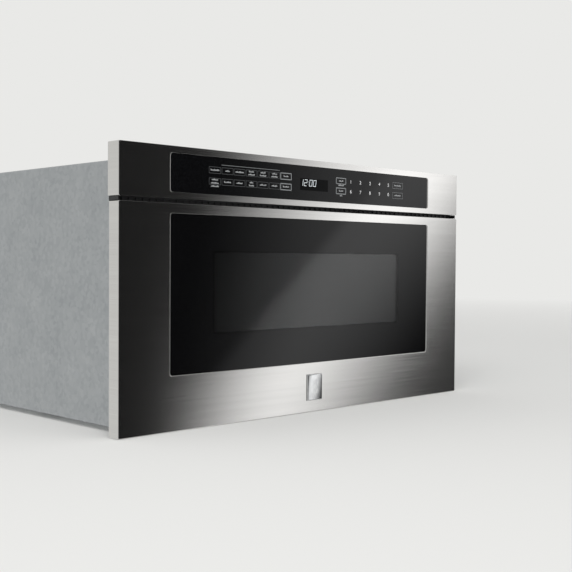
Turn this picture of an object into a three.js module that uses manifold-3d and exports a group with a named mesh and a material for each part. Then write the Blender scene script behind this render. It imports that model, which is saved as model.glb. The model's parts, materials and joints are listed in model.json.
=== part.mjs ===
// Built-in microwave drawer, 30 inch class, as an assembly of separate pieces.
//
// Frame: millimetres, +Z up, X to the right as seen from the front, Y to the back.
// The finished part has its origin in the middle of the underside of the chassis floor.
// All pieces are built from the plane of the cabinet face, which is Y = 0 until the
// whole group is shifted at the end.

import * as THREE from "three";
import { mergeVertices } from "three/addons/utils/BufferGeometryUtils.js";
import Module from "manifold-3d";

const wasm = await Module();
wasm.setup();

// ------------------------------------------------------------ driving dimensions

const CLEAR = 0.3; // left between two pieces that touch
const SHEET = 1.2; // pressed steel sheet of the chassis
const SKIN = 1.2; // stainless sheet of the front
const FRAME_SHEET = 1.5; // front frame plate

// The front, as seen from the room.
const FACE_WIDTH = 759;
const FACE_HEIGHT = 402;
const FACE_TOP_LAP = 21; // how far the front reaches above the chassis
const FACE_DROP = 8; // how far the front hangs below the chassis floor
const FRONT_DEPTH = 22.8; // visible face to the back plane of the drawer front
const SEAL_GAP = 1.7; // drawer front to front frame, bridged by the choke cover
const FACE_ROLL = 1; // radius of the rolled outer edge
const PANEL_HEIGHT = 74.6;
const AIR_SPLIT = 5.7; // between control panel and drawer front
const OPENING_CORNER = 4.5; // corner radius of both glass openings
const GLASS_SET_BACK = 1; // both glasses lie this far behind the steel

const GLASS_SIDE_MARGIN = 88.5; // steel left and right of both glasses
const CONTROL_MARGIN = 10; // steel above and below the control glass
const CONTROL_GLASS_THICK = 3;
const TOUCH_BOARD_MARGIN = 7;
const TOUCH_CHIP = 14;
const DISPLAY_WIDTH = 63.6;
const DISPLAY_HEIGHT = 18.6;
const DISPLAY_DEPTH = 8;
const DISPLAY_PIN = 3;
const DISPLAY_OFFSET = -2; // display centre from the middle of the panel
const CARRIER_WALL = 2;

const WINDOW_FROM_BOTTOM = 79.2;
const WINDOW_TOP_MARGIN = 14.2;
const WINDOW_THICK = 4;
const SCREEN_WIDTH = 422; // see-through field behind the window
const SCREEN_HEIGHT = 118;
const SCREEN_RISE = 1.8; // screen centre above the window's
const SCREEN_BORDER = 10;
const SCREEN_THICK = 1.2;

const BADGE_WIDTH = 34;
const BADGE_HEIGHT = 42;
const BADGE_THICK = 3;
const BADGE_CORNER = 4;
const BADGE_BEVEL = 1.4;

// The chassis behind the cabinet face.
const CHASSIS_WIDTH = 711;
const CHASSIS_DEPTH = 589;
const FRAME_SIDE_LAP = 3.5; // the face covers the frame by this much at each edge
const PAN_FLANGE = 14;
const WRAP_BEND = 4;
const MOUNT_HOLE_RADIUS = 2.6;

// The oven cavity and the tub that slides into it.
const CAVITY_WIDTH = 456;
const CAVITY_DEPTH = 432;
const CAVITY_FLOOR = 84;
const CAVITY_CORNER = 12;
const TUB_SIDE_GAP = 6.8;
const TUB_REAR_GAP = 16.8;
const TUB_LIFT = 2.5;
const TUB_HEIGHT = 128.5;
const TUB_WALL = 1.2;
const TUB_SLOTS = 6;
const TUB_SLOT_PITCH = 54;
const TUB_SLOT_LENGTH = 32;
const TUB_SLOT_HEIGHT = 4;
const TUB_SLOT_DROP = 16; // below the rim
const GLIDE_RADIUS = 8;
const GLIDE_INSET = 30;
const TUB_RIM = 3.8;
const TUB_CORNER = 22;
const PLATE_THICK = 5; // glass ceramic floor of the tub
const PLATE_MARGIN = 5;

// The choke in the back of the drawer front.
const CHOKE_WIDTH = 24;
const CHOKE_DEPTH = 14.6;
const CHOKE_LIP = 3;
const CHOKE_MARGIN = 4.7; // choke cover to the drawer front's top edge
const CHOKE_PITCH = 36;
const CHOKE_SLOT = 3;
const CHOKE_COVER = 1;
const CHOKE_BAND = 30; // kept free of slots around the cavity mouth
const RECESS_CORNER = 4; // inner corners of the recess that the tub's front sits in
const RECESS_MARGIN = 1;
const RECESS_RISE = 3.8; // recess panel behind the choke channel's bottom
const INNER_PANE = 4;

// The telescopic slides, section sizes as on a common 45 mm ball slide.
const RAIL_HEIGHT = 45;
const RAIL_LENGTH = 440;
const RAIL_FRONT = 12;
const RAIL_CENTRE = 60;
const RAIL_THICK = 12.7;
const RAIL_STEEL = 1.4;
const BALL_GAP_OUTER = 3.3;
const BALL_GAP_INNER = 4.3;
const CAGE_STEEL = 0.6;
const CAGE_LENGTH = 250;
const CAGE_PITCH = 110;
const DRAWER_TRAVEL = 380;
const ARM_THICK = 2;
const ARM_HEIGHT = 34;

// Rack and pinion of the drawer drive.
const GEAR_MODULE = 2;
const PINION_TEETH = 18;
const PRESSURE_ANGLE = THREE.MathUtils.degToRad(20);
const BACKLASH = 0.3;
const RACK_WIDTH = 10.5;
const RACK_GAP = 1.5;
const RACK_DEPTH = 9;
const PINION_WIDTH = 10.5;
const PINION_FROM_FRONT = 42;
const DRIVE_SHAFT_RADIUS = 4;
const GEARBOX_WIDTH = 34;
const GEARBOX_LENGTH = 60;
const GEARBOX_HEIGHT = 52;
const MOTOR_RADIUS = 18;
const MOTOR_LENGTH = 62;

// Microwave source and stirrer above and behind the cavity.
const RECESS_RADIUS = 110;
const RECESS_LEDGE = 14; // carries the stirrer cover
const COVER_PLAY = 7;
const COVER_THICK = 0.8;
const GUIDE_WIDTH = 92;
const GUIDE_HEIGHT = 39;
const GUIDE_TAIL = 34; // past the antenna at one end and the port's edge at the other
const GUIDE_LIP = 12;
const GUIDE_PORT_RADIUS = 22;
const ANTENNA_RADIUS = 8;
const STIRRER_RADIUS = 84;
const STIRRER_SHAFT_RADIUS = 3;
const SHAFT_GRIP = 6; // how far a fan's shaft reaches into its motor
const STIRRER_MOTOR_RADIUS = 25;
const MOTOR_EAR = 9;
const STIRRER_MOTOR_HEIGHT = 18;
const STIRRER_CLEARANCE = 8; // hub above its cover
const STIRRER_HUB_RADIUS = 12;
const STIRRER_HUB_HEIGHT = 6;
const PADDLE_WIDTH = 26;
const PADDLE_PITCH = 14; // degrees
const PADDLE_STEP = 9; // two of the four paddles are this much shorter
const ROOF_SPACE = 7; // stirrer motor to the roof of the chassis
const MAGNETRON_WIDTH = 90;
const MAGNETRON_DEPTH = 78;
const MAGNETRON_HEIGHT = 92;
const MAGNETRON_FINS = 5;
const ANODE_RADIUS = 20;
const FILTER_BOX_INSET = 10;
const FILTER_BOX_HEIGHT = 32;
const FAN_RADIUS = 54;
const FAN_BLADES = 5;
const FAN_DEPTH = 18;
const FAN_TIP_GAP = 3;
const FAN_SET_IN = 3; // hub behind the shroud's face
const FAN_HUB_RADIUS = 15;
const FAN_SHAFT_RADIUS = 2.5;
const BLADE_CHORD = 34;
const BLADE_TURN = 34; // degrees
const SHROUD_RIM = 5;
const SHROUD_DEPTH = 24;
const FAN_DROP = 12; // fan axis below the magnetron's middle
const SHROUD_GAP = 14; // from the magnetron
const FAN_MOTOR_CORE = 56;
const FAN_MOTOR_DEPTH = 22;
const FAN_MOTOR_COIL = 32;
const MOTOR_ARM_WIDTH = 8;

// Electrics.
const INTAKE_X = 190; // air slots in the back and the top
const VENT_LENGTH = 90;
const VENT_WIDTH = 6;
const VENT_PITCH = 15;
const TRANSFORMER_X = -130;
const CORE_WIDTH = 104;
const CORE_DEPTH = 60;
const CORE_HEIGHT = 86;
const BASE_PLATE = 2;
const BASE_DEPTH = 88;
const BASE_MARGIN = 10; // base plate beyond the core at each end
const WINDING_WIDTH = 72;
const WINDING_DEPTH = 92;
const WINDING_CORNER = 12;
const WINDING_RISE = 14; // lower winding above the base
const WINDING_GAP = 4;
const PRIMARY_HEIGHT = 26;
const SECONDARY_HEIGHT = 30;
const TAG_WIDTH = 6; // flat terminals
const TAG_LENGTH = 11;
const CAPACITOR_X = -250;
const CAPACITOR_SET_BACK = 20;
const CAN_WIDTH = 52;
const CAN_DEPTH = 32;
const CAN_HEIGHT = 92;
const STRAP_WIDTH = 12;
const STRAP_FOOT = 16;
const BOARD_THICK = 1.6;
const BOARD_POST = 8;
const POWER_BOARD_WIDTH = 126;
const POWER_BOARD_DEPTH = 126;
const POWER_BOARD_X = -165;
const POWER_BOARD_Y = 82;
const PART_EDGE = 15; // board edge to its parts
const PART_GAP = 7;
const RELAY = [20, 15, 16]; // width, depth and height, like those below
const SUPPLY = [36, 32, 26];
const SOCKET = [18, 12, 9];
const SOCKET_EDGE = 4;
const CHIP = [20, 34, 3];
const SMOOTHING_RADIUS = 11;
const FILTER_BOARD_SIDE = 84;
const TOROID_RADIUS = 15;
const TOROID_HEIGHT = 14;
const FUSE_RADIUS = 4;
const FUSE_LENGTH = 34;
const FUSE_EDGE = 16;
const SUPPRESSOR = [20, 12, 14];
const FILTER_BOARD_X = 210;

// Door interlocks.
const LATCH_X = 320;
const LATCH_Z = 240;
const LATCH_REACH = 24;
const HOOK_WIDTH = 6;
const HOOK_HEIGHT = 14;
const PLUNGER_SIDE = 4;
const PLUNGER_TRAVEL = 2;
const SWITCH_WIDTH = 16;
const SWITCH_HEIGHT = 20;
const SWITCH_DEPTH = 18;

const STAND_WIDTH = 180; // bracket that carries the back of the cavity
const STAND_SHEET = 2;
const STAND_DEPTH = 24;
const STAND_SET_IN = 10; // from the back of the cavity
const STAND_FOOT = 20;
const LAMP_HOLES_FROM_TOP = 46;
const CORD_BORE_RADIUS = 5.5;
const CORD_BUSH_RADIUS = 8.6;
const CORD_X = -300;
const CORD_Z = 60;

// ------------------------------------------------------------ derived places

const faceBottom = -FACE_DROP;
const faceTop = faceBottom + FACE_HEIGHT;
const chassisHeight = faceTop - FACE_TOP_LAP;
const glassWidth = FACE_WIDTH - 2 * GLASS_SIDE_MARGIN;
const controlGlassHeight = PANEL_HEIGHT - 2 * CONTROL_MARGIN;
const panelBottom = faceTop - PANEL_HEIGHT;
const panelCentre = (faceTop + panelBottom) / 2;
const drawerTop = panelBottom - AIR_SPLIT;
const frameFront = -FRAME_SHEET;
const doorBack = frameFront - SEAL_GAP;
const faceFront = doorBack - FRONT_DEPTH;
const windowBottom = faceBottom + WINDOW_FROM_BOTTOM;
const windowHeight = drawerTop - WINDOW_TOP_MARGIN - windowBottom;
const windowCentre = windowBottom + windowHeight / 2;
const screenCentre = windowCentre + SCREEN_RISE;
const carrierFront = faceFront + GLASS_SET_BACK + WINDOW_THICK + 0.5;

const chassisHalf = CHASSIS_WIDTH / 2;
const backFace = CHASSIS_DEPTH - SHEET;
const cavityHalf = CAVITY_WIDTH / 2;
const cavityTop = drawerTop - CHOKE_MARGIN - CHOKE_WIDTH - CHOKE_LIP;
const cavityMiddle = CAVITY_DEPTH / 2;
const rearCentre = (CAVITY_DEPTH + SHEET + backFace) / 2; // of the space behind the cavity

const tubHalf = cavityHalf - TUB_SIDE_GAP;
const tubBottom = CAVITY_FLOOR + TUB_LIFT;
const tubRim = tubBottom + TUB_HEIGHT;
const tubRear = CAVITY_DEPTH - TUB_REAR_GAP;
const recessBack = doorBack - CHOKE_DEPTH + RECESS_RISE; // panel that closes the tub's front

const armInner = cavityHalf + CHOKE_BAND + RACK_WIDTH + RACK_GAP;
const railOuter = armInner + ARM_THICK + CLEAR + RAIL_THICK; // outboard plane of the slide
const railBottom = RAIL_CENTRE - RAIL_HEIGHT / 2;
const pinionRadius = (GEAR_MODULE * PINION_TEETH) / 2;
const rackPitchZ = railBottom + 3.5;
const pinionZ = rackPitchZ - pinionRadius;
const pinionX = armInner - CLEAR - RACK_WIDTH / 2;
const toothRoot = 1.25 * GEAR_MODULE;
const toothPitch = Math.PI * GEAR_MODULE;

const guideTop = chassisHeight - SHEET - ROOF_SPACE - STIRRER_MOTOR_HEIGHT - CLEAR;
const guideBottom = guideTop - GUIDE_HEIGHT;
const recessTop = guideBottom - CLEAR;

// ------------------------------------------------------------ materials

function metal(color, roughness) {
  return new THREE.MeshStandardMaterial({ color, metalness: 1, roughness });
}

function plastic(color, roughness) {
  return new THREE.MeshStandardMaterial({ color, metalness: 0, roughness });
}

const stainless = metal(0xc4c4c2, 0.3);
const zincSteel = metal(0x9fa3a6, 0.42);
const blackPaint = plastic(0x1b1c1e, 0.5);
const greyEnamel = plastic(0xb9bab6, 0.35);
const blackGlass = plastic(0x0b0c0d, 0.06);
const brightMetal = metal(0xdcdcdc, 0.1);
const ceramicGlass = plastic(0x2b2b2d, 0.12);
const mica = plastic(0xc9c2ae, 0.55);
const boardGreen = plastic(0x1f5a38, 0.45);
const blackPlastic = plastic(0x17181a, 0.45);
const whitePlastic = plastic(0xe2e0d8, 0.4);
const ironCore = metal(0x4a4c50, 0.55);
const castAluminium = metal(0xb8bbbd, 0.45);
const rubber = plastic(0x141414, 0.8);

// ------------------------------------------------------------ shape helpers

// Rounding to a thousandth of a millimetre puts faces that share a plane exactly in it.
function solidOf(geometry) {
  const bare = geometry.index ? geometry.toNonIndexed() : geometry;
  bare.deleteAttribute("normal");
  bare.deleteAttribute("uv");
  const positions = bare.attributes.position.array;
  positions.forEach((value, i) => {
    positions[i] = Math.round(value * 1000) / 1000;
  });
  const merged = mergeVertices(bare, 1e-4);
  const mesh = new wasm.Mesh({
    numProp: 3,
    vertProperties: merged.attributes.position.array,
    triVerts: new Uint32Array(merged.index.array),
  });
  return new wasm.Manifold(mesh);
}

function geometryOf(solid) {
  const mesh = solid.getMesh();
  const geometry = new THREE.BufferGeometry();
  geometry.setAttribute("position", new THREE.BufferAttribute(mesh.vertProperties, 3));
  geometry.setIndex(new THREE.BufferAttribute(mesh.triVerts, 1));
  const faceted = geometry.toNonIndexed();
  faceted.computeVertexNormals();
  return faceted;
}

const join = (...solids) => solids.reduce((whole, piece) => whole.add(piece));
const cut = (whole, ...tools) => tools.reduce((left, tool) => left.subtract(tool), whole);

function block([x0, x1], [y0, y1], [z0, z1]) {
  const box = new THREE.BoxGeometry(x1 - x0, y1 - y0, z1 - z0);
  return solidOf(box.translate((x0 + x1) / 2, (y0 + y1) / 2, (z0 + z1) / 2));
}

// Turns a geometry built along +Z so that its length runs along the named axis.
// An outline's two numbers are then (y, z) for x, (x, z) for y and (x, y) for z.
function along(axis, geometry, from, to) {
  if (axis === "x") {
    const turned = new THREE.Matrix4().makeBasis(
      new THREE.Vector3(0, 1, 0),
      new THREE.Vector3(0, 0, 1),
      new THREE.Vector3(1, 0, 0),
    );
    return geometry.applyMatrix4(turned).translate(from, 0, 0);
  }
  if (axis === "y") return geometry.rotateX(Math.PI / 2).translate(0, to, 0);
  return geometry.translate(0, 0, from);
}

function prism(axis, outline, [from, to], curveSegments = 2) {
  const options = { depth: to - from, bevelEnabled: false, curveSegments };
  return solidOf(along(axis, new THREE.ExtrudeGeometry(outline, options), from, to));
}

function polygon(points) {
  return new THREE.Shape(points.map(([a, b]) => new THREE.Vector2(a, b)));
}

function rounded([a0, a1], [b0, b1], radius) {
  const outline = new THREE.Shape();
  outline.absarc(a1 - radius, b0 + radius, radius, -Math.PI / 2, 0);
  outline.absarc(a1 - radius, b1 - radius, radius, 0, Math.PI / 2);
  outline.absarc(a0 + radius, b1 - radius, radius, Math.PI / 2, Math.PI);
  outline.absarc(a0 + radius, b0 + radius, radius, Math.PI, 1.5 * Math.PI);
  return outline;
}

function rod(axis, [a, b], radius, [from, to], sides = 20) {
  const outline = new THREE.Shape();
  outline.absarc(a, b, radius, 0, 2 * Math.PI);
  return prism(axis, outline, [from, to], sides / 2);
}

// A slot with round ends, long along its first number.
function slot(axis, [a, b], length, width, span) {
  const outline = rounded(centred(a, length), centred(b, width), width / 3);
  return prism(axis, outline, span, 1);
}

const centred = (middle, size) => [middle - size / 2, middle + size / 2];
const steps = (count, pitch) => Array.from({ length: count }, (_, i) => (i - (count - 1) / 2) * pitch);

// ------------------------------------------------------------ assembly helpers

const microwaveDrawer = new THREE.Group();
const chassis = new THREE.Group();
const drawer = new THREE.Group();
const slides = new THREE.Group();
microwaveDrawer.add(chassis, drawer, slides);

function place(group, name, solid, material, [x, y, z] = [0, 0, 0]) {
  const mesh = new THREE.Mesh(geometryOf(solid), material);
  mesh.name = name;
  mesh.position.set(x, y, z);
  group.add(mesh);
  return mesh;
}

// The right-hand piece and its mirror image on the left.
function placePair(group, name, solid, material, [x, y, z] = [0, 0, 0]) {
  place(group, `${name}_right`, solid, material, [x, y, z]);
  const left = place(group, `${name}_left`, solid, material, [-x, y, z]);
  left.scale.x = -1;
}

// ------------------------------------------------------------ front skins

// A stainless pan: flat face, rolled outer edge, returns to the back, glass opening.
function frontSkin(bottom, top, back, openingWidth, openingHeight, openingCentre) {
  const half = FACE_WIDTH / 2;
  const roll = FACE_ROLL;
  const outline = rounded([-half + roll, half - roll], [bottom + roll, top - roll], 0.5);
  const options = {
    depth: back - faceFront,
    bevelThickness: roll,
    bevelSize: roll,
    bevelSegments: 2,
    curveSegments: 1,
  };
  const rolled = along("y", new THREE.ExtrudeGeometry(outline, options), 0, back + roll);
  const shell = cut(
    solidOf(rolled),
    block([-FACE_WIDTH, FACE_WIDTH], [back, back + 3 * roll], [bottom - 1, top + 1]),
    block([-half + SKIN, half - SKIN], [faceFront + SKIN, back + 1], [bottom + SKIN, top - SKIN]),
  );
  const opening = rounded(
    centred(0, openingWidth),
    centred(openingCentre, openingHeight),
    OPENING_CORNER,
  );
  return cut(shell, prism("y", opening, [faceFront - 2, faceFront + 2 * SKIN]));
}

function glassPane(width, height, centre, thick) {
  const gap = 2 * CLEAR;
  const outline = rounded(centred(0, width - gap), centred(centre, height - gap), OPENING_CORNER);
  const front = faceFront + GLASS_SET_BACK;
  return prism("y", outline, [front, front + thick]);
}

function drawerFace() {
  const back = doorBack - SHEET - CLEAR;
  return frontSkin(faceBottom, drawerTop, back, glassWidth, windowHeight, windowCentre);
}

function windowGlass() {
  return glassPane(glassWidth, windowHeight, windowCentre, WINDOW_THICK);
}

function controlFascia() {
  return frontSkin(panelBottom, faceTop, fixedBack, glassWidth, controlGlassHeight, panelCentre);
}

function controlGlass() {
  return glassPane(glassWidth, controlGlassHeight, panelCentre, CONTROL_GLASS_THICK);
}

// ------------------------------------------------------------ control panel

const fixedBack = frameFront - CLEAR;
const controlGlassBack = faceFront + GLASS_SET_BACK + CONTROL_GLASS_THICK;
const touchBack = controlGlassBack + CLEAR + BOARD_THICK;
const displayZ = panelCentre - 0.2;

function controlCarrier() {
  const half = FACE_WIDTH / 2 - SKIN - CLEAR;
  const sides = [panelBottom + SKIN + CLEAR, faceTop - SKIN - CLEAR];
  const front = touchBack + CLEAR;
  const shell = cut(
    block([-half, half], [front, fixedBack], sides),
    block(
      [-half + CARRIER_WALL, half - CARRIER_WALL],
      [front + CARRIER_WALL, fixedBack + 1],
      [sides[0] + CARRIER_WALL, sides[1] - CARRIER_WALL],
    ),
  );
  const ribs = steps(8, FACE_WIDTH / 9).map((x) =>
    block(centred(x, CARRIER_WALL), [front + 0.1, fixedBack], sides),
  );
  const pocket = block(
    centred(DISPLAY_OFFSET, DISPLAY_WIDTH + 2 * CLEAR),
    [front - 1, front + DISPLAY_DEPTH + 1],
    centred(displayZ, DISPLAY_HEIGHT + 2 * CLEAR),
  );
  return cut(join(shell, ...ribs), pocket);
}

function displayModule() {
  const front = touchBack + CLEAR;
  const body = block(
    centred(DISPLAY_OFFSET, DISPLAY_WIDTH),
    [front, front + DISPLAY_DEPTH],
    centred(displayZ, DISPLAY_HEIGHT),
  );
  const pinSpan = [front + DISPLAY_DEPTH - 0.5, front + DISPLAY_DEPTH + DISPLAY_PIN];
  const pins = steps(6, DISPLAY_WIDTH / 7).map((x) =>
    block(centred(DISPLAY_OFFSET + x, 1), pinSpan, centred(displayZ, 1)),
  );
  return join(body, ...pins);
}

function touchBoard() {
  const board = block(
    centred(0, glassWidth - 2 * TOUCH_BOARD_MARGIN),
    [controlGlassBack + CLEAR, touchBack],
    centred(panelCentre, controlGlassHeight - 6),
  );
  const chipSpan = [touchBack - 0.2, touchBack + 0.1];
  const chip = block(centred(glassWidth * 0.22, TOUCH_CHIP), chipSpan, centred(panelCentre, TOUCH_CHIP - 2));
  return join(board, chip);
}

// ------------------------------------------------------------ chassis sheet metal

const floorTop = SHEET + CLEAR;
const panHalf = chassisHalf - SHEET - CLEAR;
const panBack = backFace - CLEAR;

// A pressed bead across the sheet: raised above, hollow below.
function bead(x0, x1, y) {
  const raised = [[y - 10, SHEET / 2], [y + 10, SHEET / 2], [y + 5, SHEET + 3], [y - 5, SHEET + 3]];
  const hollow = [[y - 9, -1], [y + 9, -1], [y + 4, 3], [y - 4, 3]];
  return {
    add: prism("x", polygon(raised), [x0, x1]),
    remove: prism("x", polygon(hollow), [x0 + 2, x1 - 2]),
  };
}

function basePan() {
  const inside = panHalf - SHEET;
  let pan = cut(
    block([-panHalf, panHalf], [CLEAR, panBack], [0, PAN_FLANGE]),
    block([-inside, inside], [CLEAR + SHEET, panBack - SHEET], [SHEET, PAN_FLANGE + 1]),
  );
  for (const y of steps(3, CAVITY_DEPTH / 6)) {
    const { add, remove } = bead(-tubHalf + 60, tubHalf - 60, cavityMiddle - 40 + y);
    pan = cut(join(pan, add), remove);
  }
  const vents = steps(4, 16).flatMap((y) =>
    [-1, 1].map((side) =>
      slot("z", [side * (chassisHalf - 28), cavityMiddle + y], 30, 6, [-1, SHEET + 1]),
    ),
  );
  return cut(pan, ...vents);
}

// Louvres pressed inward through the side walls: a slot with a slanted hood behind it.
function louvre(side, y, z) {
  const inner = chassisHalf - SHEET;
  const hood = polygon([
    [side * inner, z + 9],
    [side * (inner - 5), z],
    [side * (inner - 5), z - 1.6],
    [side * (inner + 0.2), z + 6.5],
  ]);
  const [near, far] = [side * (inner - 0.4), side * (chassisHalf + 1)].sort((a, b) => a - b);
  return {
    remove: block([near, far], centred(y, 52), [z - 1, z + 6]),
    add: prism("y", hood, centred(y, 52)),
  };
}

function outerWrap() {
  const bend = WRAP_BEND;
  const outer = new THREE.Shape();
  outer.moveTo(-chassisHalf, CLEAR);
  outer.absarc(-chassisHalf + bend, chassisHeight - bend, bend, Math.PI, Math.PI / 2, true);
  outer.absarc(chassisHalf - bend, chassisHeight - bend, bend, Math.PI / 2, 0, true);
  outer.lineTo(chassisHalf, CLEAR);
  const inner = bend - SHEET;
  outer.lineTo(chassisHalf - SHEET, CLEAR);
  outer.absarc(chassisHalf - bend, chassisHeight - bend, inner, 0, Math.PI / 2);
  outer.absarc(-chassisHalf + bend, chassisHeight - bend, inner, Math.PI / 2, Math.PI);
  outer.lineTo(-chassisHalf + SHEET, CLEAR);
  let wrap = prism("y", outer, [CLEAR, backFace - CLEAR]);
  for (const side of [-1, 1]) {
    for (const y of [rearCentre - 32, rearCentre + 32]) {
      for (const z of steps(3, 20)) {
        const { add, remove } = louvre(side, y, chassisHeight * 0.6 + z);
        wrap = join(cut(wrap, remove), add);
      }
    }
  }
  const roof = [chassisHeight - SHEET - 1, chassisHeight + 1];
  const topSlots = steps(6, VENT_PITCH - 1).map((y) =>
    slot("z", [INTAKE_X, rearCentre + y], VENT_LENGTH, VENT_WIDTH, roof),
  );
  return cut(wrap, ...topSlots);
}

function backPanel() {
  const span = [backFace, CHASSIS_DEPTH];
  const plate = block([-chassisHalf, chassisHalf], span, [0, chassisHeight]);
  const through = [backFace - 1, CHASSIS_DEPTH + 1];
  const ventZ = guideBottom - 60;
  const shortLength = VENT_LENGTH - 16;
  const intake = steps(5, VENT_PITCH).flatMap((z) =>
    steps(2, shortLength + 10).map((x) =>
      slot("y", [INTAKE_X + x, ventZ + z], shortLength, VENT_WIDTH, through),
    ),
  );
  const outlet = steps(5, VENT_PITCH).map((z) =>
    slot("y", [-INTAKE_X, ventZ + z], VENT_LENGTH, VENT_WIDTH, through),
  );
  const cordHole = rod("y", [CORD_X, CORD_Z], CORD_BUSH_RADIUS + CLEAR, through, 16);
  return cut(plate, ...intake, ...outlet, cordHole);
}

function cordInlet() {
  const sides = 16;
  const inside = [backFace - CLEAR - 3, backFace - CLEAR];
  const outside = [CHASSIS_DEPTH + CLEAR, CHASSIS_DEPTH + CLEAR + 3];
  const bush = join(
    rod("y", [0, 0], CORD_BUSH_RADIUS + 4, inside, sides),
    rod("y", [0, 0], CORD_BUSH_RADIUS, [inside[0], outside[1]], sides),
    rod("y", [0, 0], CORD_BUSH_RADIUS + 4, outside, sides),
  );
  return cut(bush, rod("y", [0, 0], CORD_BORE_RADIUS, [inside[0] - 1, outside[1] + 1], sides));
}

function frontFrame() {
  const half = FACE_WIDTH / 2 - FRAME_SIDE_LAP;
  const bottom = faceBottom + FRAME_SIDE_LAP;
  const top = faceTop - FRAME_SIDE_LAP;
  const through = [frameFront - 1, 1];
  const mouth = rounded([-cavityHalf, cavityHalf], [CAVITY_FLOOR, cavityTop], CAVITY_CORNER);
  const slots = [prism("y", mouth, through, 3)];
  for (const side of [-1, 1]) {
    const span = (a, b) => (side > 0 ? [a, b] : [-b, -a]);
    const railSlot = span(cavityHalf + CHOKE_BAND - 2, railOuter + 4);
    slots.push(block(railSlot, through, centred(RAIL_CENTRE, RAIL_HEIGHT + 12)));
    slots.push(block(span(LATCH_X - 12, LATCH_X + 12), through, centred(LATCH_Z, 32)));
    const holeX = side * (half - (half - chassisHalf) / 2);
    for (const z of [RAIL_CENTRE, drawerTop - 40]) {
      slots.push(rod("y", [holeX, z], MOUNT_HOLE_RADIUS, through, 10));
    }
  }
  for (const x of steps(8, 78)) {
    slots.push(slot("y", [x, panelBottom - AIR_SPLIT / 2], 64, AIR_SPLIT - 1.2, through));
  }
  slots.push(block([-60, 60], through, centred(panelCentre, 24)));
  const plate = block([-half, half], [frameFront, 0], [bottom, top]);
  return cut(plate, ...slots);
}

// ------------------------------------------------------------ cavity and microwave feed

// Top-hat bracket welded under the back of the cavity, standing on the chassis floor.
function cavityStand() {
  const half = STAND_WIDTH / 2;
  const foot = half + STAND_FOOT;
  const top = CAVITY_FLOOR - SHEET;
  const back = CAVITY_DEPTH - STAND_SET_IN;
  const right = [
    [half - STAND_SHEET, top - STAND_SHEET],
    [half - STAND_SHEET, floorTop],
    [foot, floorTop],
    [foot, floorTop + STAND_SHEET],
    [half, floorTop + STAND_SHEET],
    [half, top + SHEET / 2],
  ];
  const left = right.map(([x, z]) => [-x, z]).reverse();
  return prism("y", polygon([...right, ...left]), [back - STAND_DEPTH, back]);
}

function cavityShell() {
  const outer = rounded(
    [-cavityHalf - SHEET, cavityHalf + SHEET],
    [CAVITY_FLOOR - SHEET, cavityTop + SHEET],
    CAVITY_CORNER + SHEET,
  );
  const inner = rounded([-cavityHalf, cavityHalf], [CAVITY_FLOOR, cavityTop], CAVITY_CORNER);
  const middle = [0, cavityMiddle];
  const shell = join(
    prism("y", outer, [CLEAR, CAVITY_DEPTH + SHEET], 3),
    rod("z", middle, RECESS_RADIUS + SHEET, [cavityTop, recessTop], 32),
    cavityStand(),
  );
  const perforation = (y, span) =>
    steps(3, 10).flatMap((dy) => steps(2, 12).map((dz) => rod("x", [y + dy, lampZ + dz], 3.5, span, 6)));
  const lampHoles = perforation(lampY, [0, cavityHalf + 2 * SHEET]);
  const steamHoles = perforation(lampY + 90, [-cavityHalf - 2 * SHEET, 0]);
  return cut(
    shell,
    prism("y", inner, [CLEAR - 1, CAVITY_DEPTH], 3),
    rod("z", middle, RECESS_RADIUS, [cavityTop + SHEET, recessTop - SHEET], 32),
    rod("z", middle, RECESS_RADIUS - RECESS_LEDGE, [cavityTop - 1, cavityTop + 2 * SHEET], 32),
    rod("z", middle, GUIDE_PORT_RADIUS, [recessTop - 2 * SHEET, recessTop + 1], 20),
    ...lampHoles,
    ...steamHoles,
  );
}

const lampY = CAVITY_DEPTH * 0.45;
const lampZ = cavityTop - LAMP_HOLES_FROM_TOP;

function lampHousing() {
  const inner = cavityHalf + SHEET + CLEAR;
  const box = block([inner, inner + 30], centred(lampY, 44), centred(lampZ, 48));
  const hollow = block([inner - 1, inner + 28], centred(lampY, 40), centred(lampZ, 44));
  const bulb = rod("x", [lampY, lampZ], 9, [inner + 8, inner + 29], 12);
  const ears = block([inner, inner + 1.5], centred(lampY, 64), centred(lampZ, 16));
  return join(cut(box, hollow), bulb, cut(ears, hollow));
}

const guideEnd = rearCentre + GUIDE_TAIL;

function waveguide() {
  const start = cavityMiddle - GUIDE_TAIL - 2;
  const span = [start, guideEnd];
  const outer = block([-GUIDE_WIDTH / 2, GUIDE_WIDTH / 2], span, [guideBottom, guideTop]);
  const inner = block(
    [-GUIDE_WIDTH / 2 + SHEET, GUIDE_WIDTH / 2 - SHEET],
    [start + SHEET, guideEnd - SHEET],
    [guideBottom + SHEET, guideTop - SHEET],
  );
  const floor = [guideBottom - 1, guideBottom + 2 * SHEET];
  const roof = [guideTop - 2 * SHEET, guideTop + 1];
  const lipX = (GUIDE_WIDTH + GUIDE_LIP) / 2;
  const lips = [-1, 1].map((side) =>
    block(centred(side * lipX, GUIDE_LIP), [start, CAVITY_DEPTH], [guideBottom, guideBottom + SHEET]),
  );
  return cut(
    join(cut(outer, inner), ...lips),
    rod("z", [0, cavityMiddle], GUIDE_PORT_RADIUS, floor, 20),
    rod("z", [0, rearCentre], ANTENNA_RADIUS + 6, floor, 16),
    rod("z", [0, cavityMiddle], STIRRER_SHAFT_RADIUS + 2, roof, 16),
  );
}

function stirrerCover() {
  const seat = cavityTop + SHEET + CLEAR;
  return rod("z", [0, cavityMiddle], RECESS_RADIUS - COVER_PLAY, [seat, seat + COVER_THICK], 32);
}

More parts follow.
